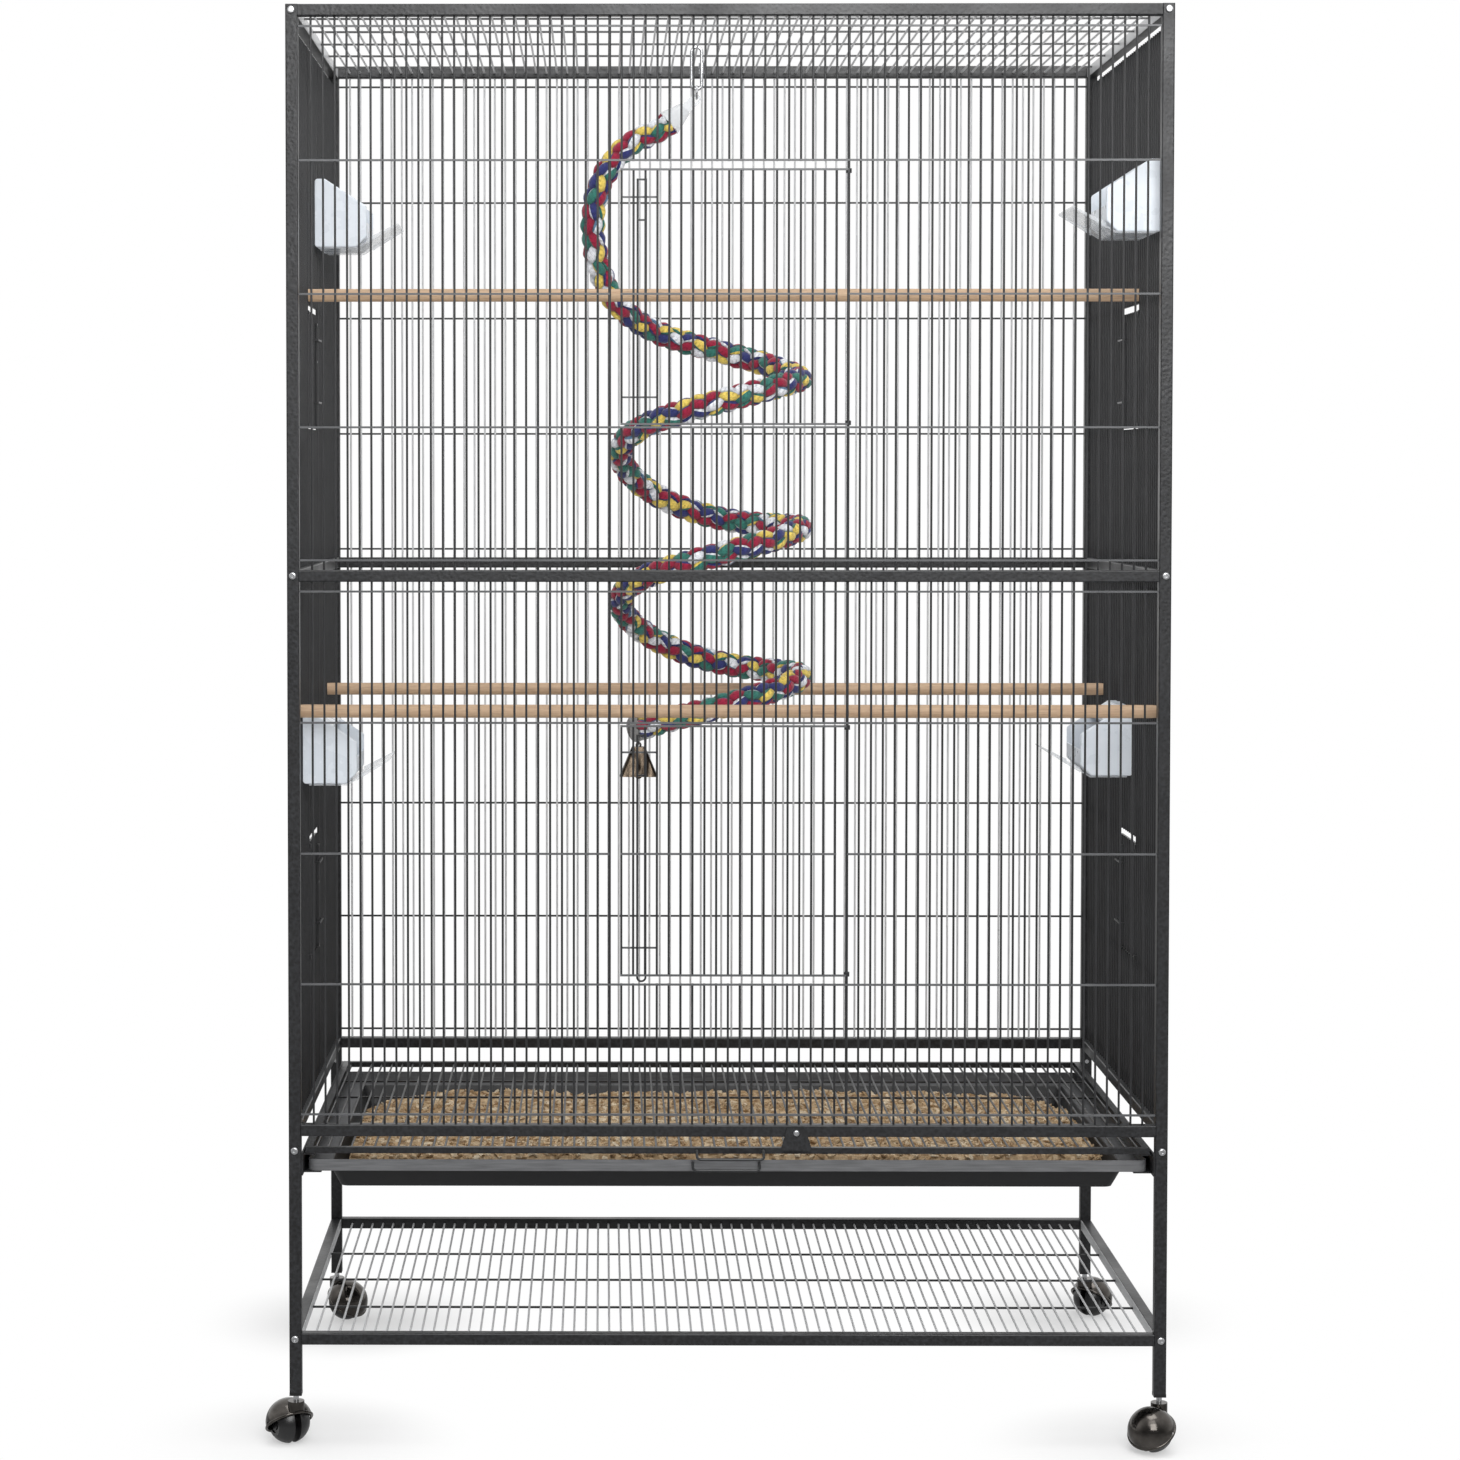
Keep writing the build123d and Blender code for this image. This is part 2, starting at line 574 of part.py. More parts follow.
def keeper():
    drop = KEEPER_Z - GRATE_TOP - KEEPER_FLOOR_GAP
    top_half, top = KEEPER_TOP
    outline = Polyline((-KEEPER_BASE_HALF, -drop), (KEEPER_BASE_HALF, -drop), (top_half, top),
                       (-top_half, top), close=True)
    face = fillet(make_face(outline).vertices(), KEEPER_SHEET * 2)
    plane = Plane(origin=(KEEPER_X, KEEPER_BACK, KEEPER_Z), x_dir=(1, 0, 0), z_dir=(0, -1, 0))
    plate = extrude(plane * face, KEEPER_SHEET)
    return plate - rod((KEEPER_X, KEEPER_BACK + 1, KEEPER_Z), (KEEPER_X, KEEPER_FRONT - 1, KEEPER_Z),
                       SCREW_D + 2 * SCREW_PLAY)


def keeper_screw():
    under_head = KEEPER_FRONT - SLIDE_GAP
    head_front = under_head - SCREW_HEAD_H
    shank = rod((KEEPER_X, -HALF_D, KEEPER_Z), (KEEPER_X, under_head, KEEPER_Z), SCREW_D)
    head = rod((KEEPER_X, under_head, KEEPER_Z), (KEEPER_X, head_front, KEEPER_Z), SCREW_HEAD_D)
    rim = head.edges().filter_by(GeomType.CIRCLE).sort_by(Axis.Y)[0]
    return shank + fillet(rim, SCREW_HEAD_H * HEAD_ROUND)


save("keeper", keeper())
save("keeper_screw", keeper_screw())


# Casters. Each is made with its swivel axis on the Z axis and trails towards +X.

def wheel_disc(radius, low, high):
    """A disc round the wheel axis, between two distances across it."""
    return rod((CASTER_TRAIL, low, WHEEL_R), (CASTER_TRAIL, high, WHEEL_R), 2 * radius)


WHEEL_INNER = CASTER_WEB / 2 + CASTER_SIDE_GAP
WHEEL_OUTER = WHEEL_INNER + CASTER_WHEEL_W
HOOD_SPACE_R = WHEEL_R + CASTER_HOOD_GAP
HOOD_R = HOOD_SPACE_R + CASTER_HOOD_SHEET
BOSS_TOP = LEG_FOOT - PLUG_FLANGE - CASTER_STEM_SHOW
BALL_MIDDLE = Pos(CASTER_TRAIL, 0, WHEEL_R)


def caster_hood():
    """Domed hood over two wheels: a middle web for the axle, a beaded mouth and a boss on the stem."""
    mouth = BALL_MIDDLE * Rot(0, CASTER_HOOD_TILT, 0)
    above_mouth = mouth * block((-2 * HOOD_R, -2 * HOOD_R, 0), (2 * HOOD_R, 2 * HOOD_R, 2 * HOOD_R))
    web = block((-HOOD_R, -CASTER_WEB / 2, 0), (3 * HOOD_R, CASTER_WEB / 2, 3 * HOOD_R))
    solid_dome = BALL_MIDDLE * Sphere(HOOD_R) & above_mouth
    boss = rod((0, 0, WHEEL_R + CASTER_HOOD_GAP), (0, 0, BOSS_TOP), CASTER_BOSS_D)
    hood = solid_dome + (boss & above_mouth) - BALL_MIDDLE * Sphere(HOOD_SPACE_R)
    hood += mouth * Torus(HOOD_R - CASTER_RIM[0], CASTER_RIM[1])
    hood += solid_dome & web
    hood += wheel_disc(CASTER_AXLE_D, -CASTER_WEB / 2, CASTER_WEB / 2)
    hood -= wheel_disc(CASTER_AXLE_D / 2 + CASTER_FIT, -HOOD_R, HOOD_R)
    return hood - rod((0, 0, BOSS_TOP - CASTER_SOCKET), (0, 0, BOSS_TOP + 1), CASTER_STEM_D + 2 * CASTER_FIT)


def caster_wheels():
    """Two half balls fixed to one axle."""
    ball = BALL_MIDDLE * Sphere(WHEEL_R)
    pair = wheel_disc(CASTER_AXLE_D / 2, -WHEEL_OUTER, WHEEL_OUTER)
    for side in (-1, 1):
        half = ball & wheel_disc(HOOD_R, side * WHEEL_INNER, side * WHEEL_OUTER)
        outer_r, inner_r, depth = CASTER_DISH
        dish = wheel_disc(outer_r, side * (WHEEL_OUTER - depth), side * (WHEEL_OUTER + depth))
        dish -= wheel_disc(inner_r, 0, side * (WHEEL_OUTER + 2 * depth))
        pair += half - dish
    return pair


def leg_plug(x, y):
    """A plastic plug in the foot of a post, bored for the caster's stem."""
    half = POST / 2
    inner = half - TUBE_WALL - PLUG_PLAY
    shape = block((x - half, y - half, LEG_FOOT - PLUG_FLANGE), (x + half, y + half, LEG_FOOT))
    shape += block((x - inner, y - inner, LEG_FOOT), (x + inner, y + inner, LEG_FOOT + PLUG_DEPTH))
    return shape - rod((x, y, 0), (x, y, LEG_FOOT + PLUG_DEPTH), CASTER_STEM_D)


def caster_stem(x, y):
    low = BOSS_TOP - CASTER_SOCKET + SWIVEL_GAP
    return rod((x, y, low), (x, y, LEG_FOOT + CASTER_STEM_GRIP), CASTER_STEM_D)


POST_X = HALF_W - POST / 2
POST_Y = HALF_D - POST / 2
for corner, (side_x, side_y) in CORNERS.items():
    place = Pos(side_x * POST_X, side_y * POST_Y, 0) * Rot(0, 0, CASTER_TRAIL_DEGREES[corner])
    save(f"caster_hood_{corner}", place * caster_hood())
    save(f"caster_wheels_{corner}", place * caster_wheels())
save("leg_plugs", *[leg_plug(x * POST_X, y * POST_Y) for x, y in CORNERS.values()])
save("caster_stems", *[caster_stem(x * POST_X, y * POST_Y) for x, y in CORNERS.values()])


# Wooden perches, slotted at both ends to straddle a bar and rest on the cross wire outside it

def perch(bar, wall, level):
    y = bar * BAR_PITCH
    z = cross_levels(wall)[level] + CROSS / 2 + SEAT_GAP + PERCH_D / 2
    tip = HALF_W - PERCH_TIP_GAP
    dowel = rod((-tip, y, z), (tip, y, z), PERCH_D)
    slot = BAR_D / 2 + PERCH_SLOT_PLAY
    slot_end = SIDE_BAR_X - 2 * slot
    for side in (-1, 1):
        x = sorted((side * slot_end, side * HALF_W))
        dowel -= block((x[0], y - slot, z - PERCH_D), (x[1], y + slot, z + PERCH_D))
    return dowel


for name, plan in PERCHES.items():
    save(name, perch(*plan))


# Feeder cups. A cup is made on the left wall: X counts inward from the inside of the bars,
# Z from the middle of the cross wire that carries the hooks.

HOOK_Z = CROSS / 2 + SEAT_GAP


def cup_profile(inset):
    """The cup's outline seen from the side, drawn in by the inset."""
    back, front = SEAT_GAP + inset, FEEDER_DEPTH - inset
    top, floor = HOOK_Z + HOOK_T - inset, -FEEDER_DROP + inset
    shoulder = FEEDER_SHOULDER - inset / 2
    slope_end = HOOK_Z + HOOK_T - FEEDER_SLOPE - inset
    outline = Polyline((back, floor), (front - FEEDER_CHAMFER, floor), (front, floor + FEEDER_CHAMFER),
                       (front, slope_end), (shoulder, top), (back, top), close=True)
    face = make_face(outline)
    return Plane.XZ * fillet(face.vertices(), FEEDER_ROUND - inset)


def feeder_cup():
    half = FEEDER_WIDTH / 2
    cup = extrude(cup_profile(0.0), half, both=True)
    ends = cup.faces().sort_by(Axis.Y)
    cup = fillet(ends[0].edges() + ends[-1].edges(), FEEDER_ROUND / 2)
    inner_half = half - FEEDER_WALL
    cup -= extrude(cup_profile(FEEDER_WALL), inner_half, both=True)
    cup -= block((FEEDER_HOOD, -inner_half, -FEEDER_DROP + FEEDER_FRONT_H),
                 (FEEDER_DEPTH + 1, inner_half, HOOK_Z + HOOK_T + 1))
    lip_x = -(BAR_D / 2 + CROSS_OFFSET + CROSS / 2 + SEAT_GAP)
    for side in (-1, 1):
        y = side * HOOK_BARS * BAR_PITCH
        low_y, high_y = y - HOOK_W / 2, y + HOOK_W / 2
        cup += block((lip_x - HOOK_T / 2, low_y, HOOK_Z), (FEEDER_SHOULDER / 2, high_y, HOOK_Z + HOOK_T))
        cup += block((lip_x - HOOK_T / 2, low_y, HOOK_Z - HOOK_LIP), (lip_x, high_y, HOOK_Z + HOOK_T))
    return cup


def feeder_shield():
    """A clear scoop under and in front of the cup."""
    half = FEEDER_WIDTH / 2
    top = -FEEDER_DROP
    bend = FEEDER_DEPTH - FEEDER_CHAMFER + SHIELD_T / 2
    lip_z = top + SHIELD_RISE
    floor = top - SHIELD_T
    lip_floor = lip_z - SHIELD_T
    outline = Polyline((SHIELD_START, top), (bend, top), (SHIELD_REACH, lip_z), (SHIELD_REACH, lip_floor),
                       (bend, floor), (SHIELD_START, floor), close=True)
    scoop = extrude(Plane.XZ * make_face(outline), half, both=True)
    cheek_top, cheek_floor = (top + rise for rise in SHIELD_CHEEK)
    cheek = Polyline((FEEDER_DEPTH, cheek_top), (SHIELD_REACH, lip_z), (SHIELD_REACH, lip_floor),
                     (FEEDER_DEPTH, cheek_floor), close=True)
    cheeks = extrude(Plane.XZ * make_face(cheek), half, both=True)
    between = half - SHIELD_T
    return scoop + (cheeks - block((0, -between, top), (SHIELD_REACH, between, lip_z + 1)))


def feeder_place(shape, side, bar, wall):
    inner_face = HALF_W - RAIL / 2 - BAR_D / 2
    placed = Pos(-inner_face, bar * BAR_PITCH, cross_levels(wall)[FEEDER_LEVEL]) * shape
    return placed if side < 0 else mirror(placed, about=Plane.YZ)


CUP = feeder_cup()
SHIELD = feeder_shield()
for name, plan in FEEDERS.items():
    save(name, feeder_place(CUP, *plan))
save("feeder_shields", *[feeder_place(SHIELD, *plan) for plan in FEEDERS.values()])


# Rope perch on its link

def spiral_point(angle):
    heading = math.radians(ROPE_ZERO_HEADING - angle)
    droop, skew = ROPE_BACK_DROOP
    backward = math.sin(heading)
    z = ROPE_END_Z + ROPE_FALL * (ROPE_LAST_ANGLE - angle) - backward * (droop + skew * backward)
    return Vector(ROPE_AXIS[0] + ROPE_RADIUS * math.cos(heading),
                  ROPE_AXIS[1] + ROPE_RADIUS * math.sin(heading), z)


def spiral_heading(angle):
    return (spiral_point(angle + 0.5) - spiral_point(angle - 0.5)).normalized()


def biarc(start, start_heading, end, end_heading):
    """Two arcs that leave and arrive in the given headings."""
    chord = end - start
    both = start_heading + end_heading
    turn = 2 * (1 - start_heading.dot(end_heading))
    along = chord.dot(both)
    reach = (-along + math.sqrt(along**2 + turn * chord.dot(chord))) / turn
    near = start + start_heading * reach
    far = end - end_heading * reach
    middle = (near + far) * 0.5
    return [TangentArc(start, middle, tangent=start_heading),
            TangentArc(middle, end, tangent=(far - near).normalized())]


LINK_X = ROPE_LINK_BAR * BAR_PITCH
LINK_TOP = TOP_RAIL_Z + BAR_D / 2 + SEAT_GAP + LINK_WIRE_D
LINK_FOOT = LINK_TOP - LINK_HEIGHT
HANG_RING_Z = LINK_FOOT + LINK_WIRE_D + SEAT_GAP + HANG_RING_D / 2 - HANG_RING_R
TOP_HEADING = Vector(*ROPE_TOP_HEADING).normalized()
CAP_EYE = Vector(LINK_X, ROPE_LINK_Y, HANG_RING_Z - HANG_RING_R)
CAP_EYE += TOP_HEADING * ((CAP_EYE_D - HANG_RING_D) / 2 - SEAT_GAP)
ROPE_TOP = CAP_EYE + TOP_HEADING * CAP_ROPE_REACH


def rope_path():
    turns = math.ceil((ROPE_LAST_ANGLE - ROPE_FIRST_ANGLE) / ROPE_QUARTER)
    step = (ROPE_LAST_ANGLE - ROPE_FIRST_ANGLE) / turns
    angles = [ROPE_FIRST_ANGLE + i * step for i in range(turns + 1)]
    stops = [(ROPE_TOP + TOP_HEADING * ROPE_D / 2, TOP_HEADING)]
    stops += [(Vector(*place), Vector(*heading).normalized()) for place, heading in ROPE_LEAD]
    stops += [(spiral_point(angle), spiral_heading(angle)) for angle in angles]
    edges = [Line(ROPE_TOP, stops[0][0])]
    for (start, start_heading), (end, end_heading) in zip(stops, stops[1:]):
        edges += biarc(start, start_heading, end, end_heading)
    last, heading = stops[-1]
    edges.append(Line(last, last + heading * ROPE_D))
    return Wire([edge.edge() for edge in edges])


def least_self_gap(path, spacing):
    """Least clear distance between stretches of the rope that aren't neighbours along it."""
    count = int(path.length / spacing)
    points = [path.position_at(i / count) for i in range(count + 1)]
    apart = int(3 * ROPE_D / spacing)
    near = [(a - b).length for i, a in enumerate(points) for b in points[i + apart:]]
    return min(near) - ROPE_D


ROPE_PATH = rope_path()
ROPE = sweep(Plane(origin=ROPE_TOP, z_dir=TOP_HEADING) * Circle(ROPE_D / 2), path=ROPE_PATH)
print("rope length", round(ROPE_PATH.length, 1), "volume share",
      round(ROPE.volume / (math.pi * ROPE_D**2 / 4 * ROPE_PATH.length), 4),
      "least self gap", round(least_self_gap(ROPE_PATH, 5.0), 2))
save("rope_perch", ROPE)


def quick_link():
    """A long closed link with a screw sleeve on one side, and the ring that hangs in it."""
    radius = (LINK_WIDTH - LINK_WIRE_D) / 2
    low, high = LINK_FOOT + LINK_WIRE_D / 2 + radius, LINK_TOP - LINK_WIRE_D / 2 - radius
    left, right = LINK_X - radius, LINK_X + radius
    y = ROPE_LINK_Y
    path = Wire([Line((left, y, low), (left, y, high)).edge(),
                 ThreePointArc((left, y, high), (LINK_X, y, high + radius), (right, y, high)).edge(),
                 Line((right, y, high), (right, y, low)).edge(),
                 ThreePointArc((right, y, low), (LINK_X, y, low - radius), (left, y, low)).edge()])
    link = sweep(Plane(origin=(left, y, low), z_dir=(0, 0, 1)) * Circle(LINK_WIRE_D / 2), path=path)
    middle = (low + high) / 2
    link += rod((right, y, middle - LINK_NUT_H / 2), (right, y, middle + LINK_NUT_H / 2), LINK_NUT_D)
    return link, ring((LINK_X, y, HANG_RING_Z), HANG_RING_R, HANG_RING_D, (1, 0, 0))


def rope_cap():
    """Cone on the rope's upper end with a flat eye for the ring; made upright, then tilted."""
    cone = loft([Circle(CAP_FOOT_D / 2), Pos(0, 0, CAP_H) * Circle(CAP_NECK_D / 2)])
    half, half_width = CAP_TAB_T / 2, CAP_TAB_W / 2
    tab = block((-half, -half_width, CAP_H - CAP_TAB_T), (half, half_width, CAP_ROPE_REACH))
    tab += rod((-half, 0, CAP_ROPE_REACH), (half, 0, CAP_ROPE_REACH), CAP_TAB_W)
    cap = cone + tab - rod((-CAP_TAB_W, 0, CAP_ROPE_REACH), (CAP_TAB_W, 0, CAP_ROPE_REACH), CAP_EYE_D)
    return Plane(origin=ROPE_TOP, x_dir=(0, 1, 0), z_dir=-TOP_HEADING) * cap


ROPE_FOOT = ROPE_PATH.position_at(1)
ROPE_FOOT_HEADING = ROPE_PATH.tangent_at(1)
END_CAP_MIDDLE = ROPE_FOOT + ROPE_FOOT_HEADING * (END_CAP_H / 2)
CAP_SLANT = math.hypot(ROPE_FOOT_HEADING.X, ROPE_FOOT_HEADING.Y)
CAP_UNDERSIDE = END_CAP_MIDDLE.Z - END_CAP_D / 2 / CAP_SLANT
EYE_Z = CAP_UNDERSIDE - RING_DROP
BELL_PIVOT = Vector(END_CAP_MIDDLE.X, END_CAP_MIDDLE.Y, EYE_Z - RING_R)
LOOP_Z = BELL_PIVOT.Z + RING_WIRE_D + RING_PLAY - RING_R
BELL_TOP = LOOP_Z - BELL_CROWN_DROP
BELL_ROOF = BELL_TOP - RING_WIRE_D
CLAPPER_EYE_Z = BELL_ROOF - CLAPPER_WIRE_D / 2
CLAPPER_PIVOT_Z = CLAPPER_EYE_Z - CLAPPER_EYE_R


def rope_end_cap():
    """Cap on the rope's lower end with a small eye under it."""
    start = ROPE_FOOT
    cap = rod(tuple(start), tuple(start + ROPE_FOOT_HEADING * END_CAP_H), END_CAP_D)
    return cap + ring((BELL_PIVOT.X, BELL_PIVOT.Y, EYE_Z), RING_R, RING_WIRE_D, (1, 0, 0))


def bell_form(inset, low, high):
    sizes = [[side - 2 * inset for side in plan] for plan in (BELL_FOOT, BELL_CROWN)]
    corner = BELL_CORNER - inset
    faces = [Pos(BELL_PIVOT.X, BELL_PIVOT.Y, z) * RectangleRounded(*size, corner)
             for z, size in zip((low, high), sizes)]
    return loft(faces)


def bell():
    foot = BELL_TOP - BELL_H
    shell = bell_form(0.0, foot, BELL_TOP) - bell_form(BELL_SHEET, foot, BELL_ROOF)
    shell += ring((BELL_PIVOT.X, BELL_PIVOT.Y, LOOP_Z), RING_R, RING_WIRE_D, (0, 1, 0)) - bell_form(
        BELL_SHEET, foot, BELL_ROOF)
    eye = ring((BELL_PIVOT.X, BELL_PIVOT.Y, CLAPPER_EYE_Z), CLAPPER_EYE_R, CLAPPER_WIRE_D, (1, 0, 0))
    above_roof = block((BELL_PIVOT.X - RING_R, BELL_PIVOT.Y - 2 * RING_R, BELL_TOP),
                       (BELL_PIVOT.X + RING_R, BELL_PIVOT.Y + 2 * RING_R, BELL_TOP + 2 * RING_R))
    return shell + (eye - above_roof)


def bell_clapper():
    x, y = BELL_PIVOT.X, BELL_PIVOT.Y
    loop_z = CLAPPER_PIVOT_Z + CLAPPER_WIRE_D + RING_PLAY - CLAPPER_RING_R
    ball_z = BELL_TOP - BELL_H + CLAPPER_BALL_RISE
    loop = ring((x, y, loop_z), CLAPPER_RING_R, CLAPPER_WIRE_D, (0, 1, 0))
    stem = rod((x, y, ball_z), (x, y, loop_z - CLAPPER_RING_R), CLAPPER_WIRE_D)
    return loop + stem + Pos(x, y, ball_z) * Sphere(CLAPPER_BALL_D / 2)


save("quick_link", *quick_link())
save("rope_end_caps", rope_cap(), rope_end_cap())
save("bell", bell())
save("bell_clapper", bell_clapper())
print("bell pivot", [round(v, 3) for v in tuple(BELL_PIVOT)], "clapper pivot z", round(CLAPPER_PIVOT_Z, 3))
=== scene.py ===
# %% [markdown]
# # A bird cage on a rolling stand
#
# This lesson dresses a finished CAD model of a wire bird cage. The CAD model gives every tube, wire,
# door and caster, already in its place and in metres, so the work here is what CAD leaves out:
# paint, wood grain, moulded plastic, a braided cotton rope and the litter in the tray.
# The frame is loaded first.

# %% Load the frame
import json
import math
import random

import bpy
import numpy as np
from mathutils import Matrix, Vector


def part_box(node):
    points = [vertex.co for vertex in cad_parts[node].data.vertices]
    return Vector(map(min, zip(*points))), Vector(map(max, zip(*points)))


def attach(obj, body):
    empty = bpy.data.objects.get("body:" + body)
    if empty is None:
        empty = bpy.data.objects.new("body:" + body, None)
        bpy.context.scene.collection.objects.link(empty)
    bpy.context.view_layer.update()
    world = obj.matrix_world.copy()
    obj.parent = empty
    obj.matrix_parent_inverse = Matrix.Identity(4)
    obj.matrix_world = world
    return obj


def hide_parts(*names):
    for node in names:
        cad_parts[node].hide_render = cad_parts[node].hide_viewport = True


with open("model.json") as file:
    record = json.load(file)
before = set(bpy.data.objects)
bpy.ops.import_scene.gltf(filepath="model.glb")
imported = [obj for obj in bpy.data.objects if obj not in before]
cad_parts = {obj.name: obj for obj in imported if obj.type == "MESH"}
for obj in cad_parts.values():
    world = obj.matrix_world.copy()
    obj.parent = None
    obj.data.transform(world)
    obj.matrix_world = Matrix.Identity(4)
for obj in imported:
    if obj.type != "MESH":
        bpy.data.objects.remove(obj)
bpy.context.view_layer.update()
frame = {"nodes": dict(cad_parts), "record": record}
nodes = frame["nodes"]
MM = 0.001

# %% [markdown]
# The camera stands where the photographer stood: three metres in front, a little left of the middle
# and at two thirds of the cage's height. A real picture is often cropped off-centre, and a shift of the
# lens repeats such a crop without turning the camera, so upright posts stay upright.

# %% Camera
PICTURE = 1460                              # pixels along each side of the picture
FOCAL = 3222.248                            # focal length in those pixels
OFF_CENTRE = (-150.444, -138.095)           # lens axis from the picture's middle, right and down
STAND = (-0.113148, -3.107107, 0.876883)    # metres
PITCH, YAW = 0.036, -0.007                  # radians
SENSOR = 36.0                               # millimetres

lens = bpy.data.cameras.new("photo_camera")
lens.sensor_width = SENSOR
lens.lens = SENSOR * FOCAL / PICTURE
lens.shift_x = -OFF_CENTRE[0] / PICTURE
lens.shift_y = OFF_CENTRE[1] / PICTURE
camera = bpy.data.objects.new("photo_camera", lens)
camera.location = STAND
looking = Vector((math.sin(YAW) * math.cos(PITCH), math.cos(YAW) * math.cos(PITCH), -math.sin(PITCH)))
camera.rotation_euler = looking.to_track_quat("-Z", "Y").to_euler()
scene = bpy.context.scene
scene.collection.objects.link(camera)
scene.camera = camera
scene.view_settings.view_transform = "Standard"
print("lens", round(lens.lens, 1), "mm, shift", round(lens.shift_x, 3), round(lens.shift_y, 3))

# %% [markdown]
# Colours are written as sRGB hex values, as a colour picker shows them, and one function turns them
# into the linear numbers that shaders work with. Another small function adds any node with its
# settings and links. A pattern's scale is a count per metre, so a size in millimetres is turned round.

# %% Helpers for materials
def linear(code):
    parts = [int(code[i:i + 2], 16) / 255 for i in (1, 3, 5)]
    return tuple(c / 12.92 if c <= 0.04045 else ((c + 0.055) / 1.055) ** 2.4 for c in parts) + (1.0,)


def fill(tree, node, inputs):
    """Set the named inputs of a node, or link them where the value is another node's output."""
    for socket, value in inputs.items():
        if isinstance(value, bpy.types.NodeSocket):
            tree.links.new(value, node.inputs[socket])
        else:
            node.inputs[socket].default_value = value


def add_node(tree, kind, inputs=None, **settings):
    made = tree.nodes.new(kind)
    for name, value in settings.items():
        setattr(made, name, value)
    fill(tree, made, inputs or {})
    return made


def start_material(name):
    """A new material: its tree, its shader, and the place on the piece in metres."""
    material = bpy.data.materials.new(name)
    material.use_nodes = True
    tree = material.node_tree
    shader = tree.nodes["Principled BSDF"]
    place = add_node(tree, "ShaderNodeTexCoord").outputs["Object"]
    return material, tree, shader, place


def each(size_mm):
    """Pattern scale for features of this size."""
    return 1.0 / (size_mm * MM)


print("charcoal", [round(v, 4) for v in linear("#3a3a3c")[:3]])

# %% [markdown]
# ## The frame's paint
# The posts, rails and shelf are steel tube with a hammered powder coat: dark charcoal enamel that
# pulls into small dimples as it melts, so it glints in spots instead of in one clean streak.
# Dimples could be modelled, but they are shallower than a hair, so a bump does it. Voronoi cells give
# the dimples, and a finer noise gives the silver fleck between them. Real dimples are about 2 mm
# across; they are drawn at 3 mm so that they still show from the camera.

# %% Hammered powder coat
DIMPLE_MM, FLECK_MM, CLOUD_MM = 3.0, 1.4, 60.0


def hammered_coat(name, dark, light, roughness):
    material, tree, shader, place = start_material(name)
    cells = add_node(tree, "ShaderNodeTexVoronoi", {"Vector": place, "Scale": each(DIMPLE_MM)},
                     feature="SMOOTH_F1")
    fleck = add_node(tree, "ShaderNodeTexNoise",
                     {"Vector": place, "Scale": each(FLECK_MM), "Detail": 3.0})
    cloud = add_node(tree, "ShaderNodeTexNoise",
                     {"Vector": place, "Scale": each(CLOUD_MM), "Detail": 2.0})
    both = add_node(tree, "ShaderNodeMath", {0: cells.outputs["Distance"], 1: fleck.outputs["Fac"]},
                    operation="MULTIPLY")
    spread = add_node(tree, "ShaderNodeMapRange",
                      {"Value": both.outputs[0], "From Min": 0.08, "From Max": 0.42})
    tone = add_node(tree, "ShaderNodeMix",
                    {"Factor": spread.outputs[0], "A": linear(dark), "B": linear(light)},
                    data_type="RGBA")
    gloss = add_node(tree, "ShaderNodeMapRange",
                     {"Value": cloud.outputs["Fac"], "From Min": 0.3, "From Max": 0.7,
                      "To Min": roughness - 0.06, "To Max": roughness + 0.08})
    bump = add_node(tree, "ShaderNodeBump",
                    {"Height": cells.outputs["Distance"], "Strength": 0.35, "Distance": 0.5 * MM})
    fill(tree, shader, {"Base Color": tone.outputs["Result"], "Roughness": gloss.outputs[0],
                        "Normal": bump.outputs[0], "IOR": 1.5})
    return material


frame_paint = hammered_coat("hammered_powder_coat", "#101011", "#26272a", 0.4)
print(frame_paint.name)

# %% [markdown]
# The wires carry the same paint, but on a bar 2 mm thick it has no room to pull into dimples. They
# are smooth and a little glossier, with a slow change of tone from the uneven thickness of the coat.
# A wire that catches a lamp over its whole length looks much paler than its paint, so two lighter copies of
# the paint paint that light in. The level wires of the front face the lamps and get a grey copy: a painted
# highlight. The uprights of the back wall and the bars of the roof and the shelf stand in full light from
# behind, and get a pale copy: painted light.

# %% Powder coated wire
def wire_coat(name, dark, light):
    material, tree, shader, place = start_material(name)
    film = add_node(tree, "ShaderNodeTexNoise", {"Vector": place, "Scale": each(25.0), "Detail": 4.0})
    tone = add_node(tree, "ShaderNodeMix",
                    {"Factor": film.outputs["Fac"], "A": linear(dark), "B": linear(light)},
                    data_type="RGBA")
    gloss = add_node(tree, "ShaderNodeMapRange",
                     {"Value": film.outputs["Fac"], "To Min": 0.3, "To Max": 0.46})
    orange_peel = add_node(tree, "ShaderNodeTexNoise", {"Vector": place, "Scale": each(1.2)})
    bump = add_node(tree, "ShaderNodeBump",
                    {"Height": orange_peel.outputs["Fac"], "Strength": 0.15, "Distance": 0.2 * MM})
    fill(tree, shader, {"Base Color": tone.outputs["Result"], "Roughness": gloss.outputs[0],
                        "Normal": bump.outputs[0]})
    return material


wire_paint = wire_coat("powder_coated_wire", "#161617", "#2c2d2f")
# grey copy of the wire paint: painted highlight
glint_painted_wire_paint = wire_coat("wire_with_painted_highlight", "#3c3d3f", "#5e5f61")
# pale copy of the wire paint: painted light
light_painted_wire_paint = wire_coat("wire_with_painted_light", "#b0b1b3", "#d2d3d4")
print(wire_paint.name, glint_painted_wire_paint.name, light_painted_wire_paint.name)
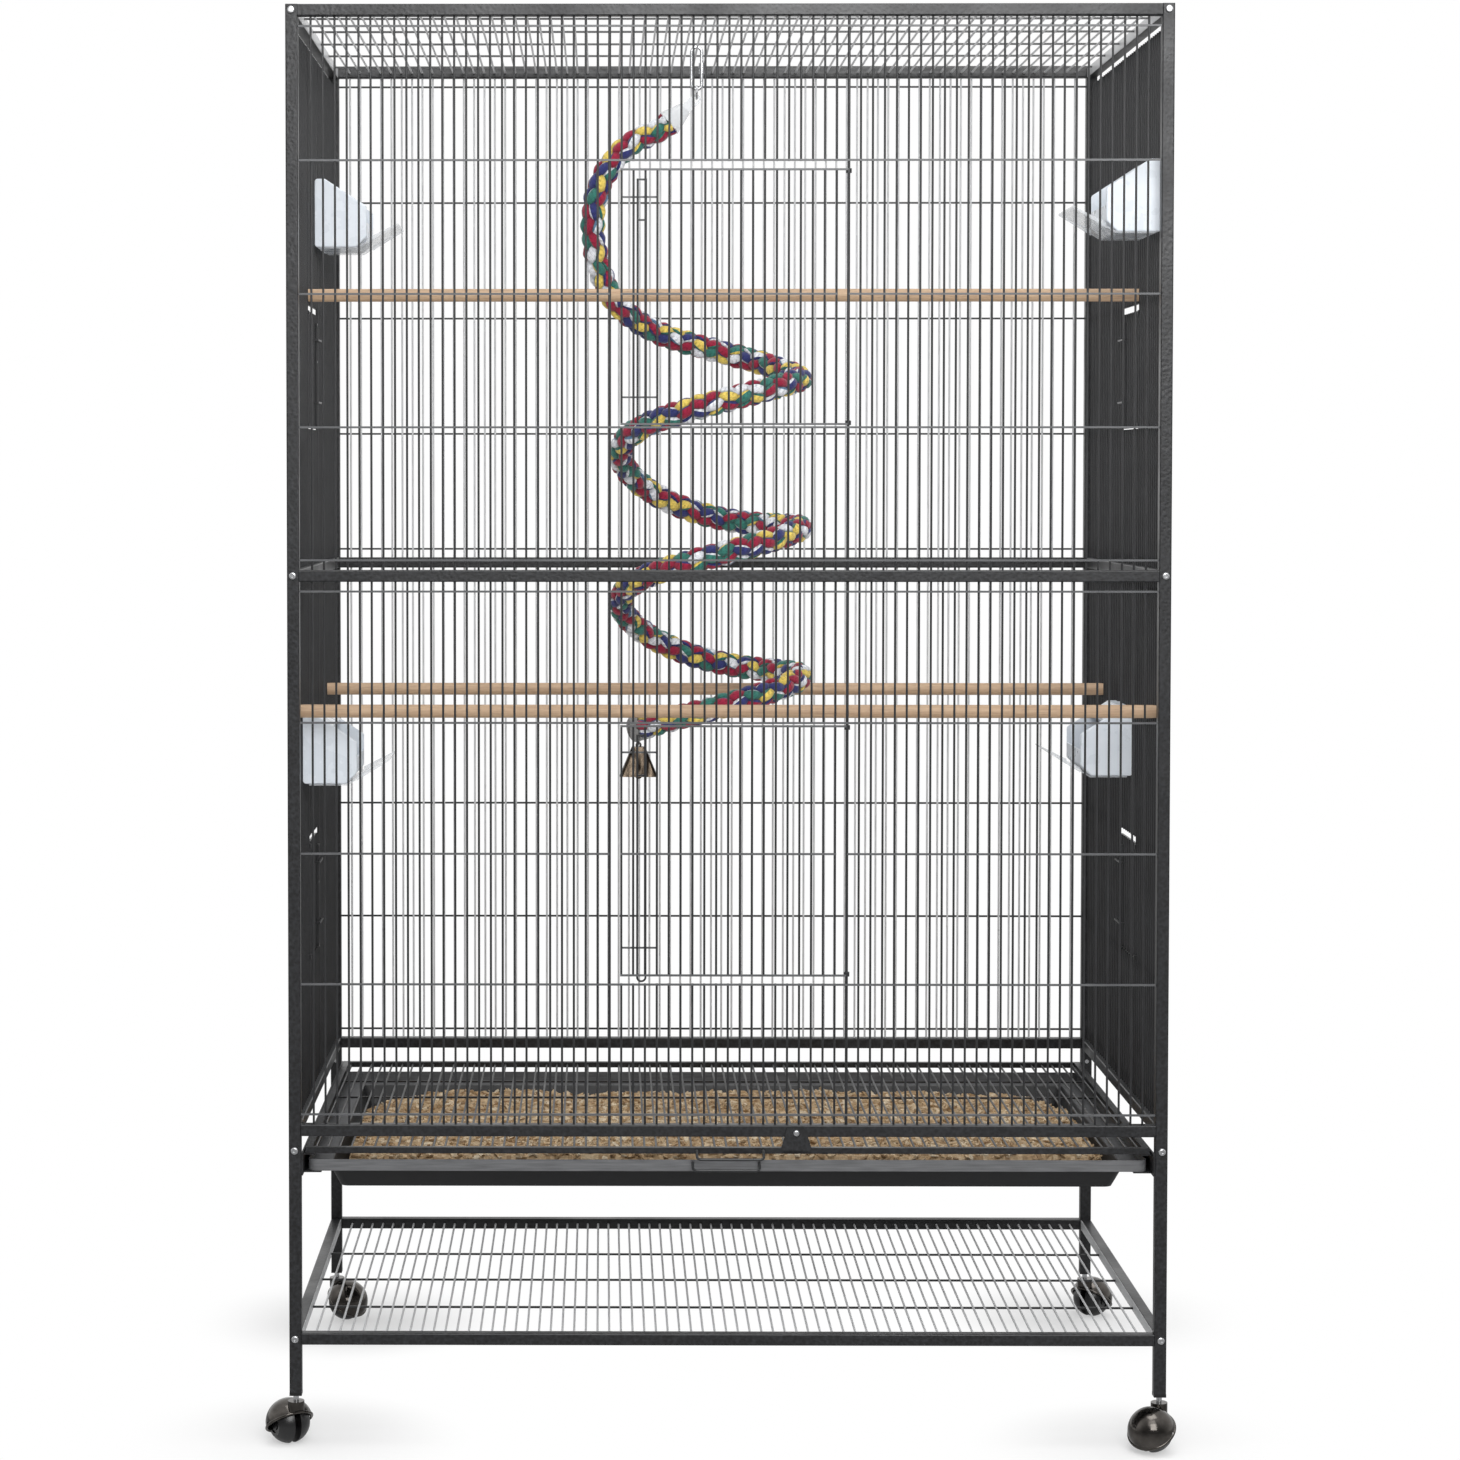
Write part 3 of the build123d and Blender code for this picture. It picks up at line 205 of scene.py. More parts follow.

# %% [markdown]
# ## Tray
# The tray is pressed from sheet. Its upright rim is lighter grey than the pan below it, which is almost
# black: partly a lighter coat, partly painted light, for the upright rim catches the front lamps and the
# pan slopes away into shade. Both are one sheet, so one material changes with height, and the scuffs are a
# noise drawn out along the tray's width.

# %% Painted tray sheet
RIM_HEIGHT, RIM_EDGE = 10.4 * MM, 0.6 * MM
RIM_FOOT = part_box("litter_tray")[1][2] - RIM_HEIGHT

tray_paint, tree, shader, place = start_material("painted_tray_sheet")
height = add_node(tree, "ShaderNodeSeparateXYZ", {"Vector": place}).outputs["Z"]
rim = add_node(tree, "ShaderNodeMapRange",
               {"Value": height, "From Min": RIM_FOOT - RIM_EDGE, "From Max": RIM_FOOT + RIM_EDGE})
scuffs = add_node(tree, "ShaderNodeMapping",
                  {"Vector": place, "Scale": (each(30.0), each(3.0), each(2.0))})
scuff_and_painted_streak_noise = add_node(tree, "ShaderNodeTexNoise",
                  {"Vector": scuffs.outputs[0], "Scale": 1.0, "Detail": 5.0})
# lighter rim: partly its coat, partly painted light from the front lamps
rim_coat_and_painted_light_tone = add_node(tree, "ShaderNodeMix",
                    {"Factor": scuff_and_painted_streak_noise.outputs["Fac"], "A": linear("#39393b"), "B": linear("#707173")},
                    data_type="RGBA")
pan_tone = add_node(tree, "ShaderNodeMix",
                    {"Factor": scuff_and_painted_streak_noise.outputs["Fac"], "A": linear("#0e0e0f"), "B": linear("#1c1d1f")},
                    data_type="RGBA")
sheet_tone = add_node(tree, "ShaderNodeMix",
                      {"Factor": rim.outputs[0], "A": pan_tone.outputs["Result"],
                       "B": rim_coat_and_painted_light_tone.outputs["Result"]}, data_type="RGBA")
gloss = add_node(tree, "ShaderNodeMapRange",
                 {"Value": scuff_and_painted_streak_noise.outputs["Fac"], "To Min": 0.38, "To Max": 0.6})
grit = add_node(tree, "ShaderNodeTexNoise", {"Vector": place, "Scale": each(1.6), "Detail": 3.0})
bump = add_node(tree, "ShaderNodeBump",
                {"Height": grit.outputs["Fac"], "Strength": 0.3, "Distance": 0.3 * MM})
fill(tree, shader, {"Base Color": sheet_tone.outputs["Result"], "Roughness": gloss.outputs[0],
                    "Normal": bump.outputs[0]})
print(tray_paint.name, "rim from", round(RIM_FOOT, 4))

# %% [markdown]
# ## Metal fittings
# Bolts, the keeper's screw and the rope's link are steel with bright zinc plating: a pale metal with small
# dull patches. The caster hoods are plated with dark nickel, which is smoother. Its wide soft clouds of
# pale and dark tone are painted reflection, standing in for the light and dark of the room mirrored in its
# polish. One function makes both, because only tone, polish and the size of the patches differ.

# %% Plated metals
def plated(name, pale, deep, roughness, patch_mm):
    material, tree, shader, place = start_material(name)
    patches = add_node(tree, "ShaderNodeTexNoise",
                       {"Vector": place, "Scale": each(patch_mm), "Detail": 6.0})
    tone = add_node(tree, "ShaderNodeMix",
                    {"Factor": patches.outputs["Fac"], "A": linear(deep), "B": linear(pale)},
                    data_type="RGBA")
    gloss = add_node(tree, "ShaderNodeMapRange",
                     {"Value": patches.outputs["Fac"], "To Min": roughness + 0.12,
                      "To Max": roughness - 0.08})
    bump = add_node(tree, "ShaderNodeBump",
                    {"Height": patches.outputs["Fac"], "Strength": 0.2, "Distance": 0.2 * MM})
    fill(tree, shader, {"Base Color": tone.outputs["Result"], "Roughness": gloss.outputs[0],
                        "Normal": bump.outputs[0], "Metallic": 1.0})
    return material


zinc = plated("zinc_plated_steel", "#dedfe1", "#b3b4b6", 0.26, 2.0)
# wide clouds of pale and dark on the hoods: painted reflection
hood_metal = plated("dark_nickel", "#6b6763", "#1b1917", 0.14, 9.0)
print(zinc.name, hood_metal.name)

# %% [markdown]
# The bell is pressed from thin brass sheet with a dark antique stain. Pressing leaves folds that run down
# its sides, drawn as a bump. Light and dark streaks along them are painted reflection of the bell's curved
# sides, so the pattern is a noise stretched from crown to rim.

# %% Antique brass
FOLD_MM, FOLD_LENGTH_MM = 6.0, 70.0

antique_brass, tree, shader, place = start_material("antique_brass")
folds = add_node(tree, "ShaderNodeMapping",
                 {"Vector": place, "Scale": (each(FOLD_MM), each(FOLD_MM), each(FOLD_LENGTH_MM))})
scuff_and_painted_streak_noise = add_node(tree, "ShaderNodeTexNoise",
                  {"Vector": folds.outputs[0], "Scale": 1.0, "Detail": 2.0})
# bright streaks: painted reflection of the curved sides
painted_streak_share = add_node(tree, "ShaderNodeMapRange",
                  {"Value": scuff_and_painted_streak_noise.outputs["Fac"], "From Min": 0.42, "From Max": 0.66})
tone = add_node(tree, "ShaderNodeMix",
                {"Factor": painted_streak_share.outputs[0], "A": linear("#16120f"), "B": linear("#554b40")},
                data_type="RGBA")
gloss = add_node(tree, "ShaderNodeMapRange",
                 {"Value": painted_streak_share.outputs[0], "To Min": 0.4, "To Max": 0.2})
bump = add_node(tree, "ShaderNodeBump",
                {"Height": scuff_and_painted_streak_noise.outputs["Fac"], "Strength": 0.6, "Distance": 1.0 * MM})
fill(tree, shader, {"Base Color": tone.outputs["Result"], "Roughness": gloss.outputs[0],
                    "Normal": bump.outputs[0], "Metallic": 1.0})
print(antique_brass.name)

# %% [markdown]
# ## Plastics
# The caster balls and leg plugs are black nylon with the dull skin of a mould. The feeder cups are
# glossy white polystyrene with a cool cast. Both are moulded: the melt leaves slow clouds of tone as
# it flows, and the mould leaves a fine skin.

# %% Nylon and polystyrene
FLOW_MM, SKIN_MM = 18.0, 1.0


def moulded(name, colour, shade, roughness, depth):
    material, tree, shader, place = start_material(name)
    flow = add_node(tree, "ShaderNodeTexNoise",
                    {"Vector": place, "Scale": each(FLOW_MM), "Detail": 3.0})
    tone = add_node(tree, "ShaderNodeMix",
                    {"Factor": flow.outputs["Fac"], "A": linear(shade), "B": linear(colour)},
                    data_type="RGBA")
    skin = add_node(tree, "ShaderNodeTexNoise",
                    {"Vector": place, "Scale": each(SKIN_MM), "Detail": 2.0})
    gloss = add_node(tree, "ShaderNodeMapRange",
                     {"Value": flow.outputs["Fac"], "To Min": roughness - 0.06,
                      "To Max": roughness + 0.06})
    bump = add_node(tree, "ShaderNodeBump",
                    {"Height": skin.outputs["Fac"], "Strength": depth, "Distance": 0.1 * MM})
    fill(tree, shader, {"Base Color": tone.outputs["Result"], "Roughness": gloss.outputs[0],
                        "Normal": bump.outputs[0], "IOR": 1.53})
    return material


black_nylon = moulded("black_nylon", "#121213", "#080809", 0.3, 0.25)
white_styrene = moulded("white_polystyrene", "#dfe4ea", "#cfd6de", 0.28, 0.15)
print(black_nylon.name, white_styrene.name)

# %% [markdown]
# The feeders' scoops and the caps on the rope are acrylic, a little grey from scratches, which lets the
# bars behind it show. The rope's lower cap is smoky. Full glass would bend what is behind it, and sheet
# this thin hardly does, so the surface is only made partly see-through.

# %% Acrylic
def acrylic(name, colour, share):
    material, tree, shader, place = start_material(name)
    haze = add_node(tree, "ShaderNodeTexNoise", {"Vector": place, "Scale": each(9.0), "Detail": 4.0})
    gloss = add_node(tree, "ShaderNodeMapRange",
                     {"Value": haze.outputs["Fac"], "To Min": 0.05, "To Max": 0.22})
    fill(tree, shader, {"Base Color": linear(colour), "Roughness": gloss.outputs[0], "Alpha": share,
                        "IOR": 1.49})
    return material


clear_acrylic = acrylic("clear_acrylic", "#d6dade", 0.4)
smoky_acrylic = acrylic("smoky_acrylic", "#2e2823", 0.6)
print(clear_acrylic.name, smoky_acrylic.name)

# %% [markdown]
# ## Wood
# The perches are pale turned dowels, sanded but not varnished. Grain runs along them, so the noise is
# stretched about thirty times further along the dowel than across it. Darker pores are a finer
# stretched noise. Unlike a picture of wood, the noise has no seam and never repeats.

# %% Sanded dowel
GRAIN_LENGTH_MM, GRAIN_MM = 110.0, 3.2
PORE_LENGTH_MM, PORE_MM = 14.0, 0.9

dowel_wood, tree, shader, place = start_material("sanded_beech_dowel")
along = add_node(tree, "ShaderNodeMapping",
                 {"Vector": place, "Scale": (each(GRAIN_LENGTH_MM), each(GRAIN_MM), each(GRAIN_MM))})
grain = add_node(tree, "ShaderNodeTexNoise",
                 {"Vector": along.outputs[0], "Scale": 1.0, "Detail": 5.0, "Distortion": 0.4})
pores = add_node(tree, "ShaderNodeMapping",
                 {"Vector": place, "Scale": (each(PORE_LENGTH_MM), each(PORE_MM), each(PORE_MM))})
flecks = add_node(tree, "ShaderNodeTexNoise",
                  {"Vector": pores.outputs[0], "Scale": 1.0, "Detail": 3.0})
wood_tone = add_node(tree, "ShaderNodeMix",
                     {"Factor": grain.outputs["Fac"], "A": linear("#9c7c60"), "B": linear("#cbb092")},
                     data_type="RGBA")
fleck_depth = add_node(tree, "ShaderNodeMapRange",
                       {"Value": flecks.outputs["Fac"], "From Min": 0.28, "From Max": 0.5,
                        "To Min": 0.8, "To Max": 1.0})
wood_colour = add_node(tree, "ShaderNodeMix",
                       {"Factor": 1.0, "A": wood_tone.outputs["Result"], "B": fleck_depth.outputs[0]},
                       data_type="RGBA", blend_type="MULTIPLY")
bump = add_node(tree, "ShaderNodeBump",
                {"Height": grain.outputs["Fac"], "Strength": 0.3, "Distance": 0.3 * MM})
fill(tree, shader, {"Base Color": wood_colour.outputs["Result"], "Normal": bump.outputs[0],
                    "Roughness": 0.58})
print(dowel_wood.name)

# %% [markdown]
# ## Dressing the CAD model
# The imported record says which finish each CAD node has, so the materials go on by that name.

# %% Dress the CAD nodes
finishes = {"hammered_paint": frame_paint, "painted_wire": wire_paint, "tray_paint": tray_paint,
            "zinc": zinc, "dark_chrome": hood_metal, "black_nylon": black_nylon, "dowel": dowel_wood,
            "white_plastic": white_styrene, "clear_plastic": clear_acrylic, "bronze": antique_brass}


def dress(piece, material):
    if not piece.material_slots:
        piece.data.materials.append(material)
    for slot in piece.material_slots:
        slot.material = material


for part in frame["record"]["subparts"]:
    if part["material_slot"] in finishes:
        dress(nodes[part["node"]], finishes[part["material_slot"]])

# %% [markdown]
# Some nodes hold two materials, and a face's size and place tell which it gets. A face that is longer than
# it is high belongs to a level wire, and on the front and the doors it gets the painted highlight. In the
# roof and the shelf a low face between the rails belongs to a wire, which keeps the plain wire paint, and
# one that is longer in depth than in width to one of the bars that run from front to back, which get the
# painted light. The uprights of the back wall get the painted light too. The rope's two caps are one node,
# and the lower one is known by its height.

# %% Second finishes
RAIL_INNER = (0.3849, 0.2199)    # inner faces of the roof's and the shelf's rails, half a millimetre spare
WIRE_FACE = 0.003                # no face of a wire that lies flat is higher
LEVEL_RATIO, BAR_RATIO = 2, 3
LOWER_CAP_BELOW = 0.8


def repaint(name, material, chosen):
    """Give a second material to the faces of a node, chosen by their size and their farthest corner."""
    mesh = nodes[name].data
    mesh.materials.append(material)
    last = len(mesh.materials) - 1
    for face in mesh.polygons:
        corners = np.array([mesh.vertices[v].co[:] for v in face.vertices])
        if chosen(np.ptp(corners, axis=0), np.abs(corners).max(axis=0)):
            face.material_index = last


def is_level(size, far):
    return max(size[0], size[1]) > LEVEL_RATIO * size[2]


def is_between_rails(far):
    return far[0] < RAIL_INNER[0] and far[1] < RAIL_INNER[1]


# level wires of the front and the doors: painted highlight
for part in ("front_upper_panel", "front_lower_panel", "upper_door", "lower_door"):
    repaint(part, glint_painted_wire_paint, is_level)
# uprights of the back wall: painted light
for part in ("back_upper_panel", "back_lower_panel"):
    repaint(part, light_painted_wire_paint, lambda size, far: not is_level(size, far))
for part in ("roof_panel", "storage_shelf"):
    repaint(part, wire_paint, lambda size, far: size[2] < WIRE_FACE and is_between_rails(far))
    # bars of the roof and the shelf: painted light
    repaint(part, light_painted_wire_paint,
            lambda size, far: size[1] > BAR_RATIO * size[0] and is_between_rails(far))
repaint("rope_end_caps", smoky_acrylic, lambda size, far: far[2] < LOWER_CAP_BELOW)
print("two or more finishes on", sum(len(piece.data.materials) > 1 for piece in nodes.values()), "nodes")

# %% [markdown]
# ## Rope perch
# The rope is soft cotton braided over a wire core, wound into a hanging spiral. Its line is one smooth
# NURBS spline. The first points lead from the clear cap out to the left and down, and the turns after
# them are points on a helix. The turns droop at the back, because the rope hangs from its upper end.
# A spline runs inside its control points, so the helix is drawn a little wider than the rope's turns.

# %% Rope route
ROPE_D = 25.0                                    # this cell is in millimetres and degrees
ROPE_AXIS = (-8.0, 20.0)
ROPE_RADIUS = 87.0
ROPE_END_Z, ROPE_FALL = 635.0, 0.40              # lowest turn, and fall for each degree of turn
ROPE_DROOP = (18.5, 8.5)
FIRST_TURN, LAST_TURN, STEPS = 250.0, 1091.0, 30
TURN_STEP = (LAST_TURN - FIRST_TURN) / STEPS
HEADING_AT_START = 250.0
ROPE_TOP = Vector((-48.625, 45.0, 1219.755))
TOP_HEADING = Vector((-0.75, 0.0, -0.66)).normalized()
LEAD = [(-84, 42, 1203), (-112, 37, 1172), (-124, 34, 1130), (-119, 46, 1084), (-102, 70, 1046),
        (-62, 96, 1018), (-6, 108, 1003), (48, 86, 988)]
ROPE_FOOT = Vector((-73.408, -42.196, 637.723))


def helix_point(turn):
    heading = math.radians(HEADING_AT_START - turn)
    back = math.sin(heading)
    wide = ROPE_RADIUS / math.cos(math.radians(TURN_STEP / 2))
    z = ROPE_END_Z + ROPE_FALL * (LAST_TURN - turn) - back * (ROPE_DROOP[0] + ROPE_DROOP[1] * back)
    return Vector((ROPE_AXIS[0] + wide * math.cos(heading), ROPE_AXIS[1] + wide * back, z))


route = [ROPE_TOP, ROPE_TOP + TOP_HEADING * ROPE_D / 2] + [Vector(p) for p in LEAD]
route += [helix_point(FIRST_TURN + i * TURN_STEP) for i in range(STEPS + 1)]
route.append(ROPE_FOOT)
print("route", len(route), "points")

# %% [markdown]
# The spline's order and its end setting come after its points, because set before, they leave straight
# runs. The strands need the smooth line itself, so the curve is turned into a mesh with no bevel, which
# is a row of points along it, and the curve is thrown away.

# %% Rope line
spline_data = bpy.data.curves.new("rope_line", "CURVE")
spline_data.dimensions = "3D"
spline = spline_data.splines.new("NURBS")
spline.points.add(len(route) - 1)
for point, place in zip(spline.points, route):
    point.co = (*(place * MM), 1.0)
spline.order_u = 3
spline.use_endpoint_u = True
spline.resolution_u = 16
line_piece = bpy.data.objects.new("rope_line", spline_data)
scene.collection.objects.link(line_piece)
bpy.context.view_layer.update()
depsgraph = bpy.context.evaluated_depsgraph_get()
line_mesh = bpy.data.meshes.new_from_object(line_piece.evaluated_get(depsgraph))
rope_line = np.array([v.co[:] for v in line_mesh.vertices])
bpy.data.objects.remove(line_piece)
step_lengths = np.linalg.norm(np.diff(rope_line, axis=0), axis=1)
rope_length = float(step_lengths.sum())
print("rope line", len(rope_line), "points,", round(rope_length, 3), "m")

# %% [markdown]
# The braid is laid out round that line. At every ring of points it needs to know which way is ahead,
# to the side and up, and these three directions are carried from point to point with as little turning
# as possible, so that the braid doesn't twist by itself where the rope bends.

# %% Rings along the rope
RING_STEP = 2.2        # millimetres

reach = np.concatenate([[0.0], np.cumsum(step_lengths)])
rings = int(rope_length / (RING_STEP * MM)) + 1
along_rope = np.linspace(0.0, rope_length, rings)
middle = np.stack([np.interp(along_rope, reach, rope_line[:, k]) for k in range(3)], axis=1)
ahead = np.gradient(middle, axis=0)
ahead /= np.linalg.norm(ahead, axis=1)[:, None]
side = np.zeros_like(ahead)
side[0] = np.cross(ahead[0], (0.0, 1.0, 0.0))
for i in range(rings):
    carried = side[i - 1] if i else side[0]
    level = carried - ahead[i] * carried.dot(ahead[i])
    side[i] = level / np.linalg.norm(level)
rise = np.cross(ahead, side)
print("rings", rings)

# %% [markdown]
# Six strands run round the rope one way and six the other, and each passes over and under the next. A
# strand is pushed out and swells where it is on top, and is squeezed flat where it dips under, which
# gives the long slanted lumps that such a rope shows. One tube with a braided bump would be lighter,
# but its outline would stay smooth, so the strands are real tubes.

# %% One strand
BRAID_TURN = 160.0                 # length of one turn of a strand round the rope
EACH_WAY = 6
RING_SIDES = 8
MIDDLE_R, WEAVE = 7.5, 1.5         # a strand's mean distance from the rope's middle, and its in-and-out
STRAND_WIDE, STRAND_HIGH, SWELL = 4.3, 2.8, 0.7


def strand(start_angle, way):
    """Rings of points for one strand, way 1 or -1 round the rope, and how far out each point is."""
    turn = 2 * math.pi * along_rope / (BRAID_TURN * MM)
    angle = (start_angle + way * turn)[:, None]
    over = way * np.cos(EACH_WAY * turn)[:, None]
    outward = np.cos(angle) * side + np.sin(angle) * rise
    centre = middle + outward * (MIDDLE_R + WEAVE * over) * MM
    forward = np.gradient(centre, axis=0)
    forward /= np.linalg.norm(forward, axis=1)[:, None]
    across = np.cross(forward, outward)
    around = np.linspace(0.0, 2 * math.pi, RING_SIDES, endpoint=False)
    high = (STRAND_HIGH + SWELL * over) * MM
    wide = (STRAND_WIDE + SWELL * over) * MM
    skin = [centre + outward * high * math.cos(a) + across * wide * math.sin(a) for a in around]
    # how far out a point is; the yarn material paints shade where it is low
    lift = [over[:, 0] * 0.5 + 0.5 * math.cos(a) for a in around]
    return np.stack(skin, axis=1).reshape(-1, 3), np.stack(lift, axis=1).ravel()


def tube_faces(first, count, sides):
    """Quads between neighbouring rings, and a face over each end."""
    quads = []
    for i in range(count - 1):
        for j in range(sides):
            a, b = first + i * sides + j, first + i * sides + (j + 1) % sides
            quads.append((a, a + sides, b + sides, b))
    start = tuple(first + j for j in range(sides))
    end = tuple(first + (count - 1) * sides + j for j in reversed(range(sides)))
    return quads + [start, end]


print("a strand has", rings * RING_SIDES, "points")

# %% [markdown]
# Six colours of loosely spun cotton make the braid. Each strand carries a thinner yarn of a second
# colour along one side. Two things are kept for the material: a number on each point that says how far
# out on the braid it is, and a UV map that says how far along its strand and how far round it is.

# %% Braid the strands
SECOND_YARN = (1,)                 # the sides of a strand that show its second yarn
YARNS = [("crimson", "navy"), ("yellow", "teal"), ("white", "slate"), ("crimson", "navy"),
         ("teal", "white"), ("navy", "white"), ("navy", "white"), ("crimson", "teal"),
         ("teal", "yellow"), ("white", "navy"), ("crimson", "navy"), ("yellow", "teal")]

corners, faces, yarn_of_face, lifts = [], [], [], []
for k, yarn in enumerate(YARNS):
    way = 1 if k < EACH_WAY else -1
    made = tube_faces(len(corners), rings, RING_SIDES)
    skin, lift = strand(2 * math.pi * (k % EACH_WAY) / EACH_WAY, way)
    corners += skin.tolist()
    lifts += lift.tolist()
    faces += made
    yarn_of_face += [yarn[i % RING_SIDES in SECOND_YARN] for i in range(len(made))]
rope_mesh = bpy.data.meshes.new("braided_rope")
rope_mesh.from_pydata(corners, [], faces)
rope_mesh.polygons.foreach_set("use_smooth", [True] * len(faces))
rope_mesh.attributes.new("lift", "FLOAT", "POINT").data.foreach_set("value", lifts)
spun = rope_mesh.uv_layers.new(name="spun")
loop_corners = np.zeros(len(rope_mesh.loops), dtype=np.int64)
rope_mesh.loops.foreach_get("vertex_index", loop_corners)
in_strand = loop_corners % (rings * RING_SIDES)
ring_index, around_index = in_strand // RING_SIDES, in_strand % RING_SIDES
spun_places = np.stack([along_rope[ring_index], around_index / RING_SIDES], axis=1)
spun.uv.foreach_set("vector", spun_places.ravel())
print("braid", len(corners), "points,", len(faces), "faces")

# %% [markdown]
# Cotton yarn is dull, with fine slanted lines where its plies twist round each other and a faint sheen from
# loose fibres. The lines follow the strand, so they are drawn in the strand's own coordinates: distance
# along it, and share of the way round it. Each ply is about 2 mm wide, and the grooves between plies get
# painted shade. Where a strand dips under the others, and on its inner side, the number that tells how far
# out a point is darkens the dye towards a darker tone: painted shade.

# %% Dyed cotton yarns
# each yarn: its dye, and the darker tone that paints shade on it
COTTON = {"crimson": ("#9a1238", "#330511"), "yellow": ("#e8cd62", "#665218"),
          "teal": ("#2f7569", "#0d2723"), "white": ("#e9ebf0", "#5f646f"),
          "navy": ("#2c3270", "#0b0d24"), "slate": ("#6288a8", "#1d2c3c")}
PLY_MM, PLIES = 2.2, 3.0
FUZZ_MM = 1.5


def cotton(name, colour, shadow):
    material, tree, shader, place = start_material(f"{name}_cotton_yarn")
    strand_place = add_node(tree, "ShaderNodeUVMap", uv_map="spun").outputs[0]
    twist = add_node(tree, "ShaderNodeVectorMath",
                     {0: strand_place, 1: (each(PLY_MM) / 2, PLIES, 0.0)}, operation="DOT_PRODUCT")
    turns = add_node(tree, "ShaderNodeMath", {0: twist.outputs["Value"], 1: 2 * math.pi},
                     operation="MULTIPLY")
    ply = add_node(tree, "ShaderNodeMath", {0: turns.outputs[0]}, operation="SINE")
    fuzz = add_node(tree, "ShaderNodeTexNoise", {"Vector": place, "Scale": each(FUZZ_MM), "Detail": 4.0})
    # ply stripes: painted shade in the grooves between plies
    lit = add_node(tree, "ShaderNodeMath", {0: ply.outputs[0], 1: 0.28, 2: 0.4},
                   operation="MULTIPLY_ADD")
    ply_shade_and_fuzz = add_node(tree, "ShaderNodeMath", {0: lit.outputs[0], 1: fuzz.outputs["Fac"]},
                    operation="ADD", use_clamp=True)
    lift = add_node(tree, "ShaderNodeAttribute", attribute_name="lift").outputs["Fac"]
    open_share = add_node(tree, "ShaderNodeMapRange",
                          {"Value": lift, "From Min": -0.1, "From Max": 0.8})
    # painted shade where the strand dips under the others and on its inner side
    unshaded_share = add_node(tree, "ShaderNodeMath", {0: ply_shade_and_fuzz.outputs[0], 1: open_share.outputs[0]},
                     operation="MULTIPLY")
    tone = add_node(tree, "ShaderNodeMix",
                    {"Factor": unshaded_share.outputs[0], "A": linear(shadow), "B": linear(colour)},
                    data_type="RGBA")
    bump = add_node(tree, "ShaderNodeBump",
                    {"Height": unshaded_share.outputs[0], "Strength": 0.6, "Distance": 0.6 * MM})
    fill(tree, shader, {"Base Color": tone.outputs["Result"], "Normal": bump.outputs[0],
                        "Roughness": 0.92, "Sheen Weight": 0.25})
    return material


yarn_index = {}
for name, tones in COTTON.items():
    yarn_index[name] = len(rope_mesh.materials)
    rope_mesh.materials.append(cotton(name, *tones))
rope_mesh.polygons.foreach_set("material_index", [yarn_index[yarn] for yarn in yarn_of_face])
rope_mesh.update()
print("yarns", list(yarn_index))

# %% [markdown]
# The braid runs from the clear cap at the top to the fitting that carries the bell. It takes the place of
# the CAD model's plain rope and swings with its body.

rope = bpy.data.objects.new("braided_rope", rope_mesh)
scene.collection.objects.link(rope)
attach(rope, "rope")
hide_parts("rope_perch")

# %% [markdown]
# ## Litter
# Coarse wood chips lie in the tray, heaped towards the front and run out before the back. A bed with a
# rough upper surface carries the heap's shape. The random numbers start from a fixed seed, so the heap
# is the same in every run.

# %% Litter bed
TRAY_SHEET = 1.2                                # all sizes in this cell are in millimetres
TRAY_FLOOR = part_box("litter_tray")[0][2] / MM + TRAY_SHEET
BED_HALF, BED_FRONT, BED_BACK = 349.0, -179.0, 172.0
BED_COLUMNS, BED_ROWS = 174, 90
BED_HEIGHT, BED_GRAIN, BED_THINNEST = 22.0, 0.8, 0.4
BACK_ROUND, BACK_POWER = 110.0, 12              # the back edge comes forward at the ends, and how sharply
BACK_WAVES = ((9.0, 0.021, 0.0), (5.0, 0.067, 1.0))    # the back edge wanders: size, rate and start
BACK_SPARE = 12.0                               # the grid goes on behind the heap's back edge
RUN_OUT = 42.0                                  # length of the slope at the back
END_SPARE, END_SLOPE = 1.5, 6.0
FRONT_LOW, FRONT_RISE, FRONT_SLOPE = 0.55, 0.45, 14.0
ANY_ANGLE = (0, 6.28)
WAVE_COUNT, WAVE_RATES, WAVE_SIZE = 14, (0.008, 0.06), 0.02

luck = random.Random(11)
waves = [(luck.uniform(*WAVE_RATES), luck.uniform(*WAVE_RATES), luck.uniform(*ANY_ANGLE))
         for _ in range(WAVE_COUNT)]


def rough(x, y):
    return sum(math.sin(a * x + b * y + c) * WAVE_SIZE / (a + b) for a, b, c in waves)


def smooth(share):
    share = min(1.0, max(0.0, share))
    return share * share * (3 - 2 * share)


def bed_top(x, y):
    """Height of the heap above the tray's floor."""
    back = BED_BACK - BACK_ROUND * (x / BED_HALF) ** BACK_POWER
    for size, rate, start in BACK_WAVES:
        back += size * math.sin(x * rate + start)
    run_out = smooth((back - y) / RUN_OUT)
    ends = smooth((BED_HALF + END_SPARE - abs(x)) / END_SLOPE)
    front = FRONT_LOW + FRONT_RISE * smooth((y - BED_FRONT) / FRONT_SLOPE)
    return max(0.0, (BED_HEIGHT + rough(x, y)) * run_out * ends * front)


def bed_place(i, j):
    x = -BED_HALF + 2 * BED_HALF * i / BED_COLUMNS
    y = BED_FRONT + (BED_BACK + BACK_SPARE - BED_FRONT) * j / BED_ROWS
    return x, y


